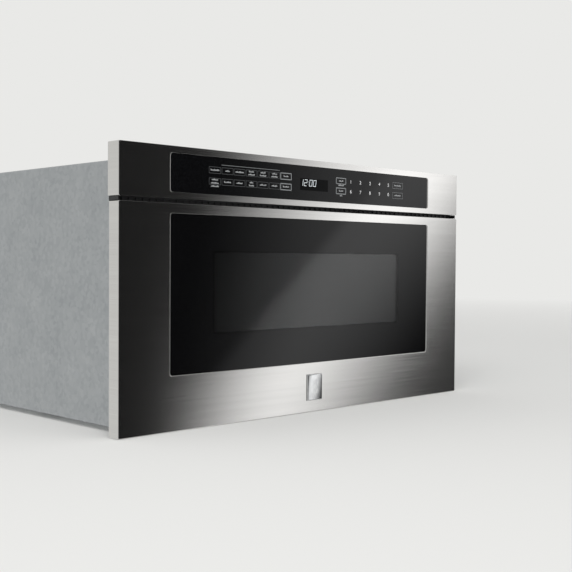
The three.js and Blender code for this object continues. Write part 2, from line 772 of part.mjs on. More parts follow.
// Four pitched paddles on a hub, turned by a shaft that passes through the waveguide.
// Local origin: on the axis, at the underside of the hub.
const stirrerBottom = cavityTop + SHEET + COVER_THICK + STIRRER_CLEARANCE;

function stirrerFan() {
  const shaftTop = guideTop + CLEAR + SHAFT_GRIP - stirrerBottom;
  const hub = join(
    rod("z", [0, 0], STIRRER_HUB_RADIUS, [0, STIRRER_HUB_HEIGHT], 16),
    rod("z", [0, 0], STIRRER_SHAFT_RADIUS, [0, shaftTop], 12),
  );
  const paddles = [0, 1, 2, 3].map((i) =>
    block(
      [STIRRER_HUB_RADIUS - 3, STIRRER_RADIUS - (i % 2) * PADDLE_STEP],
      centred(0, PADDLE_WIDTH),
      centred(0, SHEET),
    )
      .rotate([PADDLE_PITCH, 0, 0])
      .translate([0, 0, STIRRER_HUB_HEIGHT / 2])
      .rotate([0, 0, 90 * i]),
  );
  return join(hub, ...paddles);
}

function stirrerMotor() {
  const can = rod("z", [0, 0], STIRRER_MOTOR_RADIUS, [0, STIRRER_MOTOR_HEIGHT], 28);
  const ears = block(centred(0, 2 * (STIRRER_MOTOR_RADIUS + MOTOR_EAR)), centred(0, 14), [0, SHEET]);
  const tagY = [STIRRER_MOTOR_RADIUS - 3, STIRRER_MOTOR_RADIUS + 7];
  const tags = block(centred(0, STIRRER_MOTOR_RADIUS * 0.7), tagY, centred(STIRRER_MOTOR_HEIGHT / 2, 8));
  const bore = rod("z", [0, 0], STIRRER_SHAFT_RADIUS + CLEAR, [-1, SHAFT_GRIP + 1], 12);
  return cut(join(can, ears, tags), bore);
}

// Local origin: on the antenna axis, at the top of the mounting plate.
function magnetron() {
  const w = MAGNETRON_WIDTH / 2;
  const d = MAGNETRON_DEPTH / 2;
  const bottom = -MAGNETRON_HEIGHT;
  const wall = STAND_SHEET;
  const plate = block([-w - MOTOR_EAR, w + MOTOR_EAR], [-d, d], [-1.5 * wall, 0]);
  const antenna = rod("z", [0, 0], ANTENNA_RADIUS, [-wall, GUIDE_HEIGHT / 2], 16);
  const yoke = cut(
    block([-w, w], [-d, d], [bottom, -wall / 2]),
    block([-w - 1, w + 1], [-d + wall, d - wall], [bottom + wall, -1.5 * wall]),
  );
  const anode = rod("z", [0, 0], ANODE_RADIUS, [bottom + wall / 2, -wall], 16);
  const finPitch = (MAGNETRON_HEIGHT - 2 * ANODE_RADIUS) / (MAGNETRON_FINS - 1);
  const fins = steps(MAGNETRON_FINS, finPitch).map((z) =>
    block([-w + 3, w - 3], [-d + 1, d - 1], centred(bottom / 2 + z, 0.9)),
  );
  const box = FILTER_BOX_INSET;
  const filterBox = block([-w + box, w - box], [-d + box, d - box], [bottom - FILTER_BOX_HEIGHT, bottom + 1]);
  return join(plate, antenna, yoke, anode, ...fins, filterBox);
}

// ------------------------------------------------------------ cooling fan

const fanZ = guideBottom - CLEAR - MAGNETRON_HEIGHT / 2 - FAN_DROP;
const shroudX = MAGNETRON_WIDTH / 2 + SHROUD_GAP;
const shroudHalf = FAN_RADIUS + FAN_TIP_GAP + SHROUD_RIM;

// Local origin: on the fan axis, at the shroud's face next to the magnetron.
function fanShroud() {
  const half = shroudHalf;
  const wall = STAND_SHEET;
  const ground = floorTop - fanZ;
  const footWidth = half * 0.65;
  const foot = block([wall, SHROUD_DEPTH - wall], centred(0, footWidth), [ground, -half + 1]);
  const wellHeight = [ground + wall, -half - wall];
  const well = block([2 * wall, SHROUD_DEPTH], centred(0, footWidth - 2 * wall), wellHeight);
  const body = prism("x", rounded([-half, half], [-half, half], SHROUD_RIM), [0, SHROUD_DEPTH]);
  const tunnel = rod("x", [0, 0], FAN_RADIUS + FAN_TIP_GAP, [-1, SHROUD_DEPTH + 1], 32);
  return cut(join(body, cut(foot, well)), tunnel);
}

function fanBlade() {
  const shaft = rod("x", [0, 0], FAN_SHAFT_RADIUS, [0, SHROUD_DEPTH - FAN_SET_IN + 3 * SHAFT_GRIP], 10);
  const hub = rod("x", [0, 0], FAN_HUB_RADIUS, [0, FAN_DEPTH], 20);
  const blades = Array.from({ length: FAN_BLADES }, (_, i) =>
    block([-1, 1], centred(0, BLADE_CHORD), [FAN_HUB_RADIUS - 3, FAN_RADIUS])
      .rotate([0, 0, BLADE_TURN])
      .translate([FAN_DEPTH / 2, 0, 0])
      .rotate([(360 * i) / FAN_BLADES, 0, 0]),
  );
  const disc = rod("x", [0, 0], FAN_RADIUS, [-FAN_DEPTH, 2 * FAN_DEPTH], 32);
  return join(shaft, hub, ...blades.map((blade) => blade.intersect(disc)));
}

// Shaded-pole motor on two arms that bridge the shroud.
function fanMotor() {
  const start = SHROUD_DEPTH + CLEAR;
  const half = FAN_MOTOR_CORE / 2;
  const reach = shroudHalf - SHROUD_RIM;
  const armY = half - MOTOR_ARM_WIDTH;
  const arms = [-armY, armY].map((y) =>
    block([start, start + STAND_SHEET], centred(y, MOTOR_ARM_WIDTH), [-reach, reach]),
  );
  const core = block([start + 1, start + FAN_MOTOR_DEPTH], [-half, half], [-half + 2, half - 2]);
  const coilSpan = [start + STAND_SHEET, start + FAN_MOTOR_DEPTH + MOTOR_ARM_WIDTH];
  const coil = prism("z", rounded(coilSpan, centred(0, FAN_MOTOR_COIL), 5), [-half + 4, 2]);
  const bearing = rod("x", [0, 0], MOTOR_ARM_WIDTH + 1, [start, start + FAN_MOTOR_DEPTH + SHAFT_GRIP], 16);
  const bore = rod("x", [0, 0], FAN_SHAFT_RADIUS + CLEAR, [start - 1, start + FAN_MOTOR_DEPTH + 2], 12);
  return cut(join(core, coil, bearing, ...arms), bore);
}

// ------------------------------------------------------------ electrics

// Local origin: middle of the base plate's underside.
function transformer() {
  const top = BASE_PLATE + CORE_HEIGHT;
  const half = CORE_WIDTH / 2;
  const baseX = centred(0, CORE_WIDTH + 2 * BASE_MARGIN);
  const base = prism("z", rounded(baseX, centred(0, BASE_DEPTH), 4), [0, BASE_PLATE]);
  const core = block([-half, half], centred(0, CORE_DEPTH), [BASE_PLATE, top]);
  const winding = (low, height, depth) =>
    prism("z", rounded(centred(0, WINDING_WIDTH), centred(0, depth), WINDING_CORNER), [low, low + height]);
  const split = WINDING_RISE + PRIMARY_HEIGHT + WINDING_GAP;
  const primary = winding(WINDING_RISE, PRIMARY_HEIGHT, WINDING_DEPTH);
  const secondary = winding(split, SECONDARY_HEIGHT, WINDING_DEPTH + 2);
  const laminations = steps(5, CORE_DEPTH / 6).map((y) =>
    block([-half - 1, half + 1], centred(y, 1), [BASE_PLATE, top + 1]),
  );
  const tagX = WINDING_WIDTH * 0.2;
  const tagZ = [split + SECONDARY_HEIGHT - 1, split + SECONDARY_HEIGHT + TAG_LENGTH];
  const tags = [-tagX, tagX].map((x) =>
    block(centred(x, TAG_WIDTH), [WINDING_DEPTH / 2 - 6, WINDING_DEPTH / 2 + 1], tagZ),
  );
  return join(base, core, primary, secondary, ...laminations, ...tags);
}

// Outline of the capacitor's oval can, grown outward by a distance.
function canOutline(grow) {
  const corner = CAN_DEPTH / 2 + grow - 0.1;
  return rounded(centred(0, CAN_WIDTH + 2 * grow), centred(0, CAN_DEPTH + 2 * grow), corner);
}

// Local origin: middle of the can's underside.
function capacitor() {
  const can = prism("z", canOutline(0), [0, CAN_HEIGHT]);
  const rim = prism("z", canOutline(1), [CAN_HEIGHT - 2, CAN_HEIGHT + 2]);
  const tagX = CAN_WIDTH * 0.23;
  const tags = [-tagX, tagX].map((x) =>
    block(centred(x, TAG_WIDTH), [-1, 1], [CAN_HEIGHT + 1, CAN_HEIGHT + TAG_LENGTH]),
  );
  const strap = prism("z", canOutline(2), centred(CAN_HEIGHT / 2, STRAP_WIDTH));
  const side = CAN_WIDTH / 2;
  const foot = block([side - 2, side + STRAP_FOOT], centred(0, STRAP_FOOT), [0, 2]);
  const leg = block([side, side + 2], centred(0, STRAP_FOOT), [0, CAN_HEIGHT / 2]);
  return join(can, rim, strap, foot, leg, ...tags);
}

// A circuit board on four stand-offs. Local origin: middle of the stand-offs' feet.
function board(width, depth) {
  const feet = [-1, 1].flatMap((sx) =>
    [-1, 1].map((sy) => rod("z", [sx * (width / 2 - 6), sy * (depth / 2 - 6)], 3, [0, BOARD_POST + 1], 8)),
  );
  const sheet = block(centred(0, width), centred(0, depth), [BOARD_POST, BOARD_POST + BOARD_THICK]);
  return join(sheet, ...feet);
}

const boardTop = BOARD_POST + BOARD_THICK - 0.1; // parts are soldered 0.1 into the board

// A box soldered to a board, placed by its middle.
function boardPart(x, y, [width, depth, height]) {
  return block(centred(x, width), centred(y, depth), [boardTop, boardTop + height]);
}

function powerBoard() {
  const w = POWER_BOARD_WIDTH / 2;
  const d = POWER_BOARD_DEPTH / 2;
  const relays = steps(4, RELAY[1] + PART_GAP).map((y) => boardPart(w - PART_EDGE - RELAY[0] / 2, y, RELAY));
  const supply = boardPart(-w + PART_EDGE + SUPPLY[0] / 2, -d + PART_EDGE + SUPPLY[1] / 2, SUPPLY);
  const smoothing = rod(
    "z",
    [-w + PART_EDGE + SMOOTHING_RADIUS, d - 2 * PART_EDGE - SMOOTHING_RADIUS],
    SMOOTHING_RADIUS,
    [boardTop, boardTop + 2 * SMOOTHING_RADIUS],
    14,
  );
  const sockets = steps(3, SOCKET[0] + PART_GAP).map((x) =>
    boardPart(x - SOCKET[0] / 2, d - SOCKET_EDGE - SOCKET[1] / 2, SOCKET),
  );
  const chip = boardPart(0, 0, CHIP);
  return join(
    board(POWER_BOARD_WIDTH, POWER_BOARD_DEPTH),
    ...relays,
    supply,
    smoothing,
    ...sockets,
    chip,
  );
}

function filterBoard() {
  const half = FILTER_BOARD_SIDE / 2;
  const middle = [-half / 3, 0];
  const choke = cut(
    rod("z", middle, TOROID_RADIUS, [boardTop, boardTop + TOROID_HEIGHT], 18),
    rod("z", middle, TOROID_RADIUS / 2, [boardTop + 1, boardTop + TOROID_HEIGHT + 1], 12),
  );
  const fuseMiddle = [half - FUSE_EDGE, boardTop + FUSE_RADIUS - 0.5];
  const fuse = rod("x", fuseMiddle, FUSE_RADIUS, centred(half / 3, FUSE_LENGTH), 10);
  const suppressors = [0, 1].map((i) => boardPart(half / 2, -2 * i * SUPPRESSOR[1], SUPPRESSOR));
  return join(board(FILTER_BOARD_SIDE, FILTER_BOARD_SIDE), choke, fuse, ...suppressors);
}

// ------------------------------------------------------------ drawer front

// Outline of the cavity mouth, grown outward by a distance.
function mouthOutline(grow, corner = CAVITY_CORNER) {
  return rounded(
    [-cavityHalf - grow, cavityHalf + grow],
    [CAVITY_FLOOR - grow, cavityTop + grow],
    corner,
  );
}

function doorFrame() {
  const half = FACE_WIDTH / 2 - SKIN - CLEAR;
  const low = faceBottom + SKIN + CLEAR;
  const high = drawerTop - SKIN - CLEAR;
  const tray = cut(
    block([-half, half], [carrierFront, doorBack], [low, high]),
    block([-half + SHEET, half - SHEET], [carrierFront - 1, doorBack - SHEET], [low + SHEET, high - SHEET]),
  );
  const lip = CHOKE_LIP - RECESS_MARGIN;
  const channelFront = doorBack - CHOKE_DEPTH;
  const body = prism("y", mouthOutline(lip + CHOKE_WIDTH + SHEET), [channelFront, doorBack]);
  const groove = cut(
    prism("y", mouthOutline(lip + CHOKE_WIDTH), [channelFront + SHEET, doorBack + 1]),
    prism("y", mouthOutline(lip), [channelFront, doorBack + 2]),
  );
  const recess = prism("y", mouthOutline(-RECESS_MARGIN, RECESS_CORNER), [recessBack, doorBack + 1]);
  const front = prism("y", mouthOutline(-RECESS_MARGIN - 3), [channelFront - 1, recessBack - SHEET]);
  const view = block(
    centred(0, SCREEN_WIDTH - 4),
    [channelFront - 1, recessBack + 1],
    centred(screenCentre, SCREEN_HEIGHT - 4),
  );
  const across = steps(Math.floor(CAVITY_WIDTH / CHOKE_PITCH) - 2, CHOKE_PITCH);
  const cavityHeight = cavityTop - CAVITY_FLOOR;
  const upright = steps(Math.floor(cavityHeight / CHOKE_PITCH) - 2, CHOKE_PITCH);
  const depth = [recessBack + 2, doorBack + 1];
  const middleZ = CAVITY_FLOOR + cavityHeight / 2;
  const reach = lip + 1;
  const rows = [
    [CAVITY_FLOOR - reach, CAVITY_FLOOR + 2],
    [cavityTop - 2, cavityTop + reach],
  ];
  const columns = [
    [cavityHalf - 2, cavityHalf + reach],
    [-cavityHalf - reach, -cavityHalf + 2],
  ];
  const comb = [
    ...rows.flatMap((row) => across.map((x) => block(centred(x, CHOKE_SLOT), depth, row))),
    ...columns.flatMap((column) =>
      upright.map((z) => block(column, depth, centred(middleZ + z, CHOKE_SLOT))),
    ),
  ];
  return cut(join(tray, body), groove, recess, front, view, ...comb);
}

function chokeCover() {
  const outer = CHOKE_WIDTH + CHOKE_LIP;
  const span = [doorBack + CLEAR, doorBack + CLEAR + CHOKE_COVER];
  const hole = prism("y", mouthOutline(RECESS_MARGIN), [span[0] - 1, span[1] + 1]);
  return cut(prism("y", mouthOutline(outer), span), hole);
}

function windowScreen() {
  const back = recessBack - SHEET - CLEAR;
  const width = SCREEN_WIDTH + 2 * SCREEN_BORDER;
  const height = SCREEN_HEIGHT + 2 * SCREEN_BORDER;
  const outline = rounded(centred(0, width), centred(screenCentre, height), 3);
  return prism("y", outline, [back - SCREEN_THICK, back]);
}

function innerWindow() {
  const half = tubHalf - TUB_WALL - 1.5;
  const front = recessBack + CLEAR;
  const outline = rounded([-half, half], [tubBottom + TUB_WALL + CLEAR, cavityTop - 8], 6);
  return prism("y", outline, [front, front + INNER_PANE]);
}

function badgeBlank() {
  const inset = BADGE_BEVEL;
  const width = BADGE_WIDTH - 2 * inset;
  const height = BADGE_HEIGHT - 2 * inset;
  const outline = rounded(centred(0, width), centred(0, height), BADGE_CORNER);
  const options = {
    depth: BADGE_THICK,
    bevelThickness: BADGE_BEVEL / 2,
    bevelSize: inset,
    bevelSegments: 1,
    curveSegments: 2,
  };
  const back = faceFront - CLEAR;
  const solid = solidOf(along("y", new THREE.ExtrudeGeometry(outline, options), 0, back + BADGE_BEVEL));
  return cut(solid, block([-BADGE_WIDTH, BADGE_WIDTH], [back, back + 10], [-BADGE_HEIGHT, BADGE_HEIGHT]));
}

// ------------------------------------------------------------ drawer tub

function planOutline(half, rear, front, corner) {
  const outline = new THREE.Shape();
  outline.moveTo(-half, front);
  outline.lineTo(half, front);
  outline.absarc(half - corner, rear - corner, corner, 0, Math.PI / 2);
  outline.absarc(-half + corner, rear - corner, corner, Math.PI / 2, Math.PI);
  return outline;
}

function drawerTub() {
  const front = recessBack + CLEAR;
  const outer = prism("z", planOutline(tubHalf, tubRear, front, TUB_CORNER), [tubBottom, tubRim], 3);
  const rimOutline = planOutline(tubHalf + TUB_RIM, tubRear + TUB_RIM, CLEAR + 2, TUB_CORNER + TUB_RIM);
  const rim = prism("z", rimOutline, [tubRim - TUB_WALL, tubRim], 3);
  const inner = prism(
    "z",
    planOutline(tubHalf - TUB_WALL, tubRear - TUB_WALL, front - 1, TUB_CORNER - TUB_WALL),
    [tubBottom + TUB_WALL, tubRim + 1],
    3,
  );
  const glideSpan = [CAVITY_FLOOR + CLEAR, tubBottom + TUB_WALL / 2];
  const glides = [-1, 1].map((side) =>
    rod("z", [side * (tubHalf - GLIDE_INSET), tubRear - GLIDE_INSET], GLIDE_RADIUS, glideSpan, 12),
  );
  const slotHeight = centred(tubRim - TUB_SLOT_DROP, TUB_SLOT_HEIGHT);
  const slots = steps(TUB_SLOTS, TUB_SLOT_PITCH).flatMap((y) =>
    [-1, 1].map((side) =>
      block(centred(side * tubHalf, 4 * TUB_WALL), centred(cavityMiddle + y, TUB_SLOT_LENGTH), slotHeight),
    ),
  );
  return cut(join(outer, rim, ...glides), inner, ...slots);
}

function ceramicPlate() {
  const inset = TUB_WALL + PLATE_MARGIN;
  const bottom = tubBottom + TUB_WALL + CLEAR;
  const front = recessBack + CLEAR + INNER_PANE + CLEAR;
  const outline = planOutline(tubHalf - inset, tubRear - inset, front + 1, TUB_CORNER - inset);
  return prism("z", outline, [bottom, bottom + PLATE_THICK], 3);
}

// ------------------------------------------------------------ slides, arms and rack

// A channel section, as (x, z) points: web outboard, two flanges reaching inboard.
function channel(web, wall, tip, halfHeight, lip = 0) {
  const x = (u) => railOuter - u;
  const v = halfHeight;
  const upper = [
    [x(web), RAIL_CENTRE + v],
    [x(tip), RAIL_CENTRE + v],
    [x(tip), RAIL_CENTRE + v - wall - lip],
    [x(tip - wall), RAIL_CENTRE + v - wall - lip],
    [x(tip - wall), RAIL_CENTRE + v - wall],
    [x(web + wall), RAIL_CENTRE + v - wall],
  ];
  const mirrored = upper.map(([px, pz]) => [px, 2 * RAIL_CENTRE - pz]).reverse();
  return polygon([...upper, ...mirrored].filter(([px, pz], i, all) => {
    const [qx, qz] = all[(i + 1) % all.length];
    return px !== qx || pz !== qz;
  }));
}

const outerHalf = RAIL_HEIGHT / 2;
const midHalf = outerHalf - RAIL_STEEL - BALL_GAP_OUTER;
const innerHalf = midHalf - RAIL_STEEL - BALL_GAP_INNER;
const railSpan = [RAIL_FRONT, RAIL_FRONT + RAIL_LENGTH];
const cageFront = RAIL_FRONT + DRAWER_TRAVEL / 4;
const midWeb = RAIL_STEEL + 1.8;

function railOuterMember() {
  return prism("y", channel(0, RAIL_STEEL, RAIL_THICK - 1.5, outerHalf, 1.2), railSpan);
}

function railMidMember() {
  return prism("y", channel(midWeb, RAIL_STEEL, RAIL_THICK - 1.1, midHalf), railSpan);
}

// The inner channel faces the other way: its web is inboard, on the drawer arm.
function railInnerMember() {
  const back = railOuter - RAIL_THICK;
  const tip = railOuter - midWeb - 3.1;
  const upper = [
    [back + RAIL_STEEL, RAIL_CENTRE + innerHalf - RAIL_STEEL],
    [tip, RAIL_CENTRE + innerHalf - RAIL_STEEL],
    [tip, RAIL_CENTRE + innerHalf],
    [back, RAIL_CENTRE + innerHalf],
  ];
  const lower = upper.map(([x, z]) => [x, 2 * RAIL_CENTRE - z]).reverse();
  return prism("y", polygon([...upper, ...lower]), railSpan);
}

// A ball retainer: a thin channel with its balls held in two rows.
function ballCage(web, tip, gapMiddle, ballRadius) {
  const span = [cageFront, cageFront + CAGE_LENGTH];
  const strip = prism("y", channel(web, CAGE_STEEL, tip, gapMiddle + CAGE_STEEL / 2), span);
  const ballX = railOuter - (web + tip) / 2;
  const middle = cageFront + CAGE_LENGTH / 2;
  const balls = steps(Math.floor(CAGE_LENGTH / CAGE_PITCH), CAGE_PITCH).flatMap((y) =>
    [-1, 1].map((side) => {
      const ball = new THREE.IcosahedronGeometry(ballRadius, 0);
      ball.translate(ballX, middle + y, RAIL_CENTRE + side * gapMiddle);
      return solidOf(ball);
    }),
  );
  return join(strip, ...balls);
}

function outerCage() {
  const middle = outerHalf - RAIL_STEEL - BALL_GAP_OUTER / 2;
  return ballCage(RAIL_STEEL + 0.4, RAIL_THICK - 3.6, middle, BALL_GAP_OUTER / 2 - CLEAR);
}

function innerCage() {
  const middle = midHalf - RAIL_STEEL - BALL_GAP_INNER / 2;
  return ballCage(midWeb + RAIL_STEEL + 0.4, RAIL_THICK - 2, middle, BALL_GAP_INNER / 2 - CLEAR);
}

function railBracket() {
  const inner = railOuter + CLEAR;
  const upright = block([inner, inner + 2], railSpan, [floorTop, RAIL_CENTRE + outerHalf + 8]);
  const foot = block([inner, inner + 22], railSpan, [floorTop, floorTop + 2]);
  const windowZ = RAIL_CENTRE - outerHalf - 16;
  const windows = steps(5, RAIL_LENGTH / 5.5).map((y) =>
    slot("x", [RAIL_FRONT + RAIL_LENGTH / 2 + y, windowZ], 46, 12, [inner - 1, inner + 4]),
  );
  return cut(join(upright, foot), ...windows);
}

// Long angle that ties the drawer front to the inner slide member.
function drawerArm() {
  const x = [armInner, armInner + ARM_THICK];
  const low = rackPitchZ + GEAR_MODULE + RACK_GAP;
  const z = [low, low + ARM_HEIGHT];
  const front = doorBack + CLEAR;
  const web = block(x, [front, railSpan[1]], z);
  const foot = block([cavityHalf + CHOKE_BAND, x[1]], [front, front + ARM_THICK], z);
  const corner = polygon([
    [x[0] - 9, front],
    [x[0] + 0.1, front],
    [x[0] + 0.1, front + 12],
  ]);
  const gusset = prism("z", corner, [z[1] - 3, z[1]]);
  return join(web, foot, gusset);
}

// Straight-sided rack teeth pointing down, one of them centred above the pinion.
function driveRack() {
  const first = PINION_FROM_FRONT - 4 * toothPitch;
  const count = Math.ceil((DRAWER_TRAVEL + 8 * toothPitch) / toothPitch);
  const slope = Math.tan(PRESSURE_ANGLE);
  const halfAtPitch = toothPitch / 4 - BACKLASH / 4;
  const root = rackPitchZ + toothRoot;
  const tip = rackPitchZ - GEAR_MODULE;
  const wide = halfAtPitch + toothRoot * slope;
  const narrow = halfAtPitch - GEAR_MODULE * slope;
  const points = [[first - toothPitch / 2, root]];
  for (let i = 0; i < count; i++) {
    const y = first + i * toothPitch;
    points.push([y - wide, root], [y - narrow, tip], [y + narrow, tip], [y + wide, root]);
  }
  const end = first + (count - 0.5) * toothPitch;
  points.push([end, root], [end, root + RACK_DEPTH], [first - toothPitch / 2, root + RACK_DEPTH]);
  return prism("x", polygon(points), [armInner - CLEAR - RACK_WIDTH, armInner - CLEAR]);
}

// Involute pinion. Local origin: on its axis, in the middle of its face width.
// A tooth gap points straight up, where the rack tooth above it drops in.
function drivePinion() {
  const pitchRadius = pinionRadius;
  const baseRadius = pitchRadius * Math.cos(PRESSURE_ANGLE);
  const tipRadius = pitchRadius + GEAR_MODULE - 0.1;
  const rootRadius = pitchRadius - toothRoot;
  const involute = (r) => {
    const a = Math.acos(Math.min(1, baseRadius / r));
    return Math.tan(a) - a;
  };
  const halfTooth = (toothPitch / 4 - BACKLASH / 4) / pitchRadius;
  const flank = (r) => halfTooth + involute(pitchRadius) - involute(Math.max(r, baseRadius));
  const radii = [rootRadius, baseRadius, pitchRadius + 0.4, tipRadius];
  const points = [];
  for (let i = 0; i < PINION_TEETH; i++) {
    const centre = Math.PI / 2 + (2 * Math.PI * (i + 0.5)) / PINION_TEETH;
    const at = (r, side) => [r * Math.cos(centre + side * flank(r)), r * Math.sin(centre + side * flank(r))];
    radii.forEach((r) => points.push(at(r, -1)));
    [...radii].reverse().forEach((r) => points.push(at(r, 1)));
  }
  const gear = prism("x", polygon(points), centred(0, PINION_WIDTH));
  const collar = rod("x", [0, 0], 8, [-PINION_WIDTH / 2 - 1.5, 0], 16);
  const shaft = rod("x", [0, 0], DRIVE_SHAFT_RADIUS, [-PINION_WIDTH / 2 - 12, PINION_WIDTH / 2 + 2], 14);
  return join(gear, collar, shaft);
}

// Gearbox and motor share the pinion's axis line. Local origin: on that axis,
// at the gearbox face next to the pinion.
function gearbox() {
  const x = [-GEARBOX_WIDTH, 0];
  const low = floorTop - pinionZ;
  const box = prism("x", rounded(centred(4, GEARBOX_LENGTH), [low, low + GEARBOX_HEIGHT], 6), x);
  const lugs = [-1, 1].map((side) =>
    block(x, centred(4 + side * (GEARBOX_LENGTH / 2 + 5), 14), [low, low + 3]),
  );
  const outline = (inset) =>
    rounded(centred(4, GEARBOX_LENGTH - 2 * inset), [low + inset, low + GEARBOX_HEIGHT - inset], 6);
  const seam = cut(prism("x", outline(-1), [-12, -10.8]), prism("x", outline(2), x));
  const bore = rod("x", [0, 0], DRIVE_SHAFT_RADIUS + CLEAR, [-12, 1], 14);
  return cut(join(box, ...lugs), seam, bore);
}

function gearMotor() {
  const start = -GEARBOX_WIDTH - CLEAR;
  const can = rod("x", [2, 2], MOTOR_RADIUS, [start - MOTOR_LENGTH, start], 24);
  const cap = rod("x", [2, 2], MOTOR_RADIUS - 6, [start - MOTOR_LENGTH - 5, start], 16);
  const tags = [-1, 1].map((side) =>
    block([start - MOTOR_LENGTH - 9, start - MOTOR_LENGTH + 1], centred(2 + side * 9, 4), centred(2, 1)),
  );
  return join(can, cap, ...tags);
}

// ------------------------------------------------------------ interlocks

// Hook on the back of the drawer front. Local origin: on the hook's centre line,
// in the plane of the back of the drawer front.
function latchHook() {
  const foot = block(centred(0, 18), [CLEAR, CLEAR + 2], centred(0, 24));
  const tip = LATCH_REACH - doorBack;
  const arm = block(centred(0, HOOK_WIDTH), [CLEAR, tip], centred(0, HOOK_HEIGHT));
  const notch = polygon([
    [tip - 12, 3],
    [tip - 6, 3],
    [tip - 3, 8],
    [tip - 12, 8],
  ]);
  return cut(join(foot, arm), prism("x", notch, centred(0, HOOK_WIDTH + 2)));
}

const switchFront = LATCH_REACH + 4;

// Local origin: on the hook's centre line, in the plane of the cabinet face.
function switchBracket() {
  const back = switchFront + SWITCH_DEPTH + CLEAR;
  const gap = SWITCH_WIDTH / 2 + CLEAR;
  const height = centred(0, SWITCH_HEIGHT + 8);
  const sides = [-1, 1].map((side) =>
    block(centred(side * (gap + SHEET / 2), SHEET), [CLEAR, back + SHEET], height),
  );
  const flanges = [-1, 1].map((side) =>
    block(centred(side * (gap + 10), 20), [CLEAR, CLEAR + SHEET], centred(0, SWITCH_HEIGHT + 22)),
  );
  const rear = block([-gap - SHEET, gap + SHEET], [back, back + SHEET], height);
  const passage = block([-gap, gap], [-1, 3], centred(0, SWITCH_HEIGHT + 30));
  return join(cut(join(...flanges), passage), rear, ...sides);
}

function interlockSwitch() {
  const span = [switchFront, switchFront + SWITCH_DEPTH];
  const body = block(centred(0, SWITCH_WIDTH), span, centred(0, SWITCH_HEIGHT));
  const bore = block(
    centred(0, PLUNGER_SIDE + 2 * CLEAR),
    [switchFront - 1, switchFront + 5 + PLUNGER_TRAVEL + 2 * CLEAR],
    centred(0, PLUNGER_SIDE + 2 * CLEAR),
  );
  const holes = [-6, 6].map((z) => rod("x", [switchFront + 12, z], 1.6, [-SWITCH_WIDTH, SWITCH_WIDTH], 8));
  return cut(body, bore, ...holes);
}

function switchPlunger() {
  return block(centred(0, PLUNGER_SIDE), [LATCH_REACH + CLEAR, switchFront + 5], centred(0, PLUNGER_SIDE));
}

// ------------------------------------------------------------ assembly

place(chassis, "base_pan", basePan(), zincSteel);
place(chassis, "outer_wrap", outerWrap(), zincSteel);
place(chassis, "back_panel", backPanel(), zincSteel);
place(chassis, "cord_inlet", cordInlet(), rubber, [CORD_X, 0, CORD_Z]);
place(chassis, "front_frame", frontFrame(), blackPaint);
place(chassis, "cavity_shell", cavityShell(), greyEnamel);
place(chassis, "lamp_housing", lampHousing(), zincSteel);
place(chassis, "waveguide", waveguide(), zincSteel);
place(chassis, "stirrer_cover", stirrerCover(), mica);
place(chassis, "stirrer_fan", stirrerFan(), castAluminium, [0, cavityMiddle, stirrerBottom]);
place(chassis, "stirrer_motor", stirrerMotor(), zincSteel, [0, cavityMiddle, guideTop + CLEAR]);
place(chassis, "magnetron", magnetron(), castAluminium, [0, rearCentre, guideBottom - CLEAR]);
place(chassis, "fan_shroud", fanShroud(), blackPlastic, [shroudX, rearCentre, fanZ]);
place(chassis, "fan_motor", fanMotor(), ironCore, [shroudX, rearCentre, fanZ]);
place(chassis, "fan_blade", fanBlade(), blackPlastic, [shroudX + FAN_SET_IN, rearCentre, fanZ]);
place(chassis, "hv_transformer", transformer(), ironCore, [TRANSFORMER_X, rearCentre, floorTop]);
const capacitorY = rearCentre + CAPACITOR_SET_BACK;
place(chassis, "hv_capacitor", capacitor(), castAluminium, [CAPACITOR_X, capacitorY, floorTop]);
const boardFoot = cavityTop + SHEET + CLEAR;
place(chassis, "power_board", powerBoard(), boardGreen, [POWER_BOARD_X, POWER_BOARD_Y, boardFoot]);
place(chassis, "filter_board", filterBoard(), boardGreen, [FILTER_BOARD_X, rearCentre, floorTop]);

place(chassis, "control_fascia", controlFascia(), stainless);
place(chassis, "control_glass", controlGlass(), blackGlass);
place(chassis, "control_carrier", controlCarrier(), blackPlastic);
place(chassis, "touch_board", touchBoard(), boardGreen);
place(chassis, "display_module", displayModule(), blackPlastic);

const driveSeat = [pinionX - PINION_WIDTH / 2 - 2, PINION_FROM_FRONT, pinionZ];
place(chassis, "gearbox", gearbox(), whitePlastic, driveSeat);
place(chassis, "gear_motor", gearMotor(), zincSteel, driveSeat);
place(chassis, "drive_pinion", drivePinion(), whitePlastic, [pinionX, PINION_FROM_FRONT, pinionZ]);

placePair(chassis, "switch_bracket", switchBracket(), zincSteel, [LATCH_X, 0, LATCH_Z]);
placePair(chassis, "interlock_switch", interlockSwitch(), blackPlastic, [LATCH_X, 0, LATCH_Z]);
placePair(chassis, "switch_plunger", switchPlunger(), whitePlastic, [LATCH_X, 0, LATCH_Z]);

placePair(slides, "rail_bracket", railBracket(), zincSteel);
placePair(slides, "rail_outer", railOuterMember(), zincSteel);
placePair(slides, "ball_cage_outer", outerCage(), brightMetal);
placePair(slides, "rail_middle", railMidMember(), zincSteel);
placePair(slides, "ball_cage_inner", innerCage(), brightMetal);
placePair(slides, "rail_inner", railInnerMember(), zincSteel);

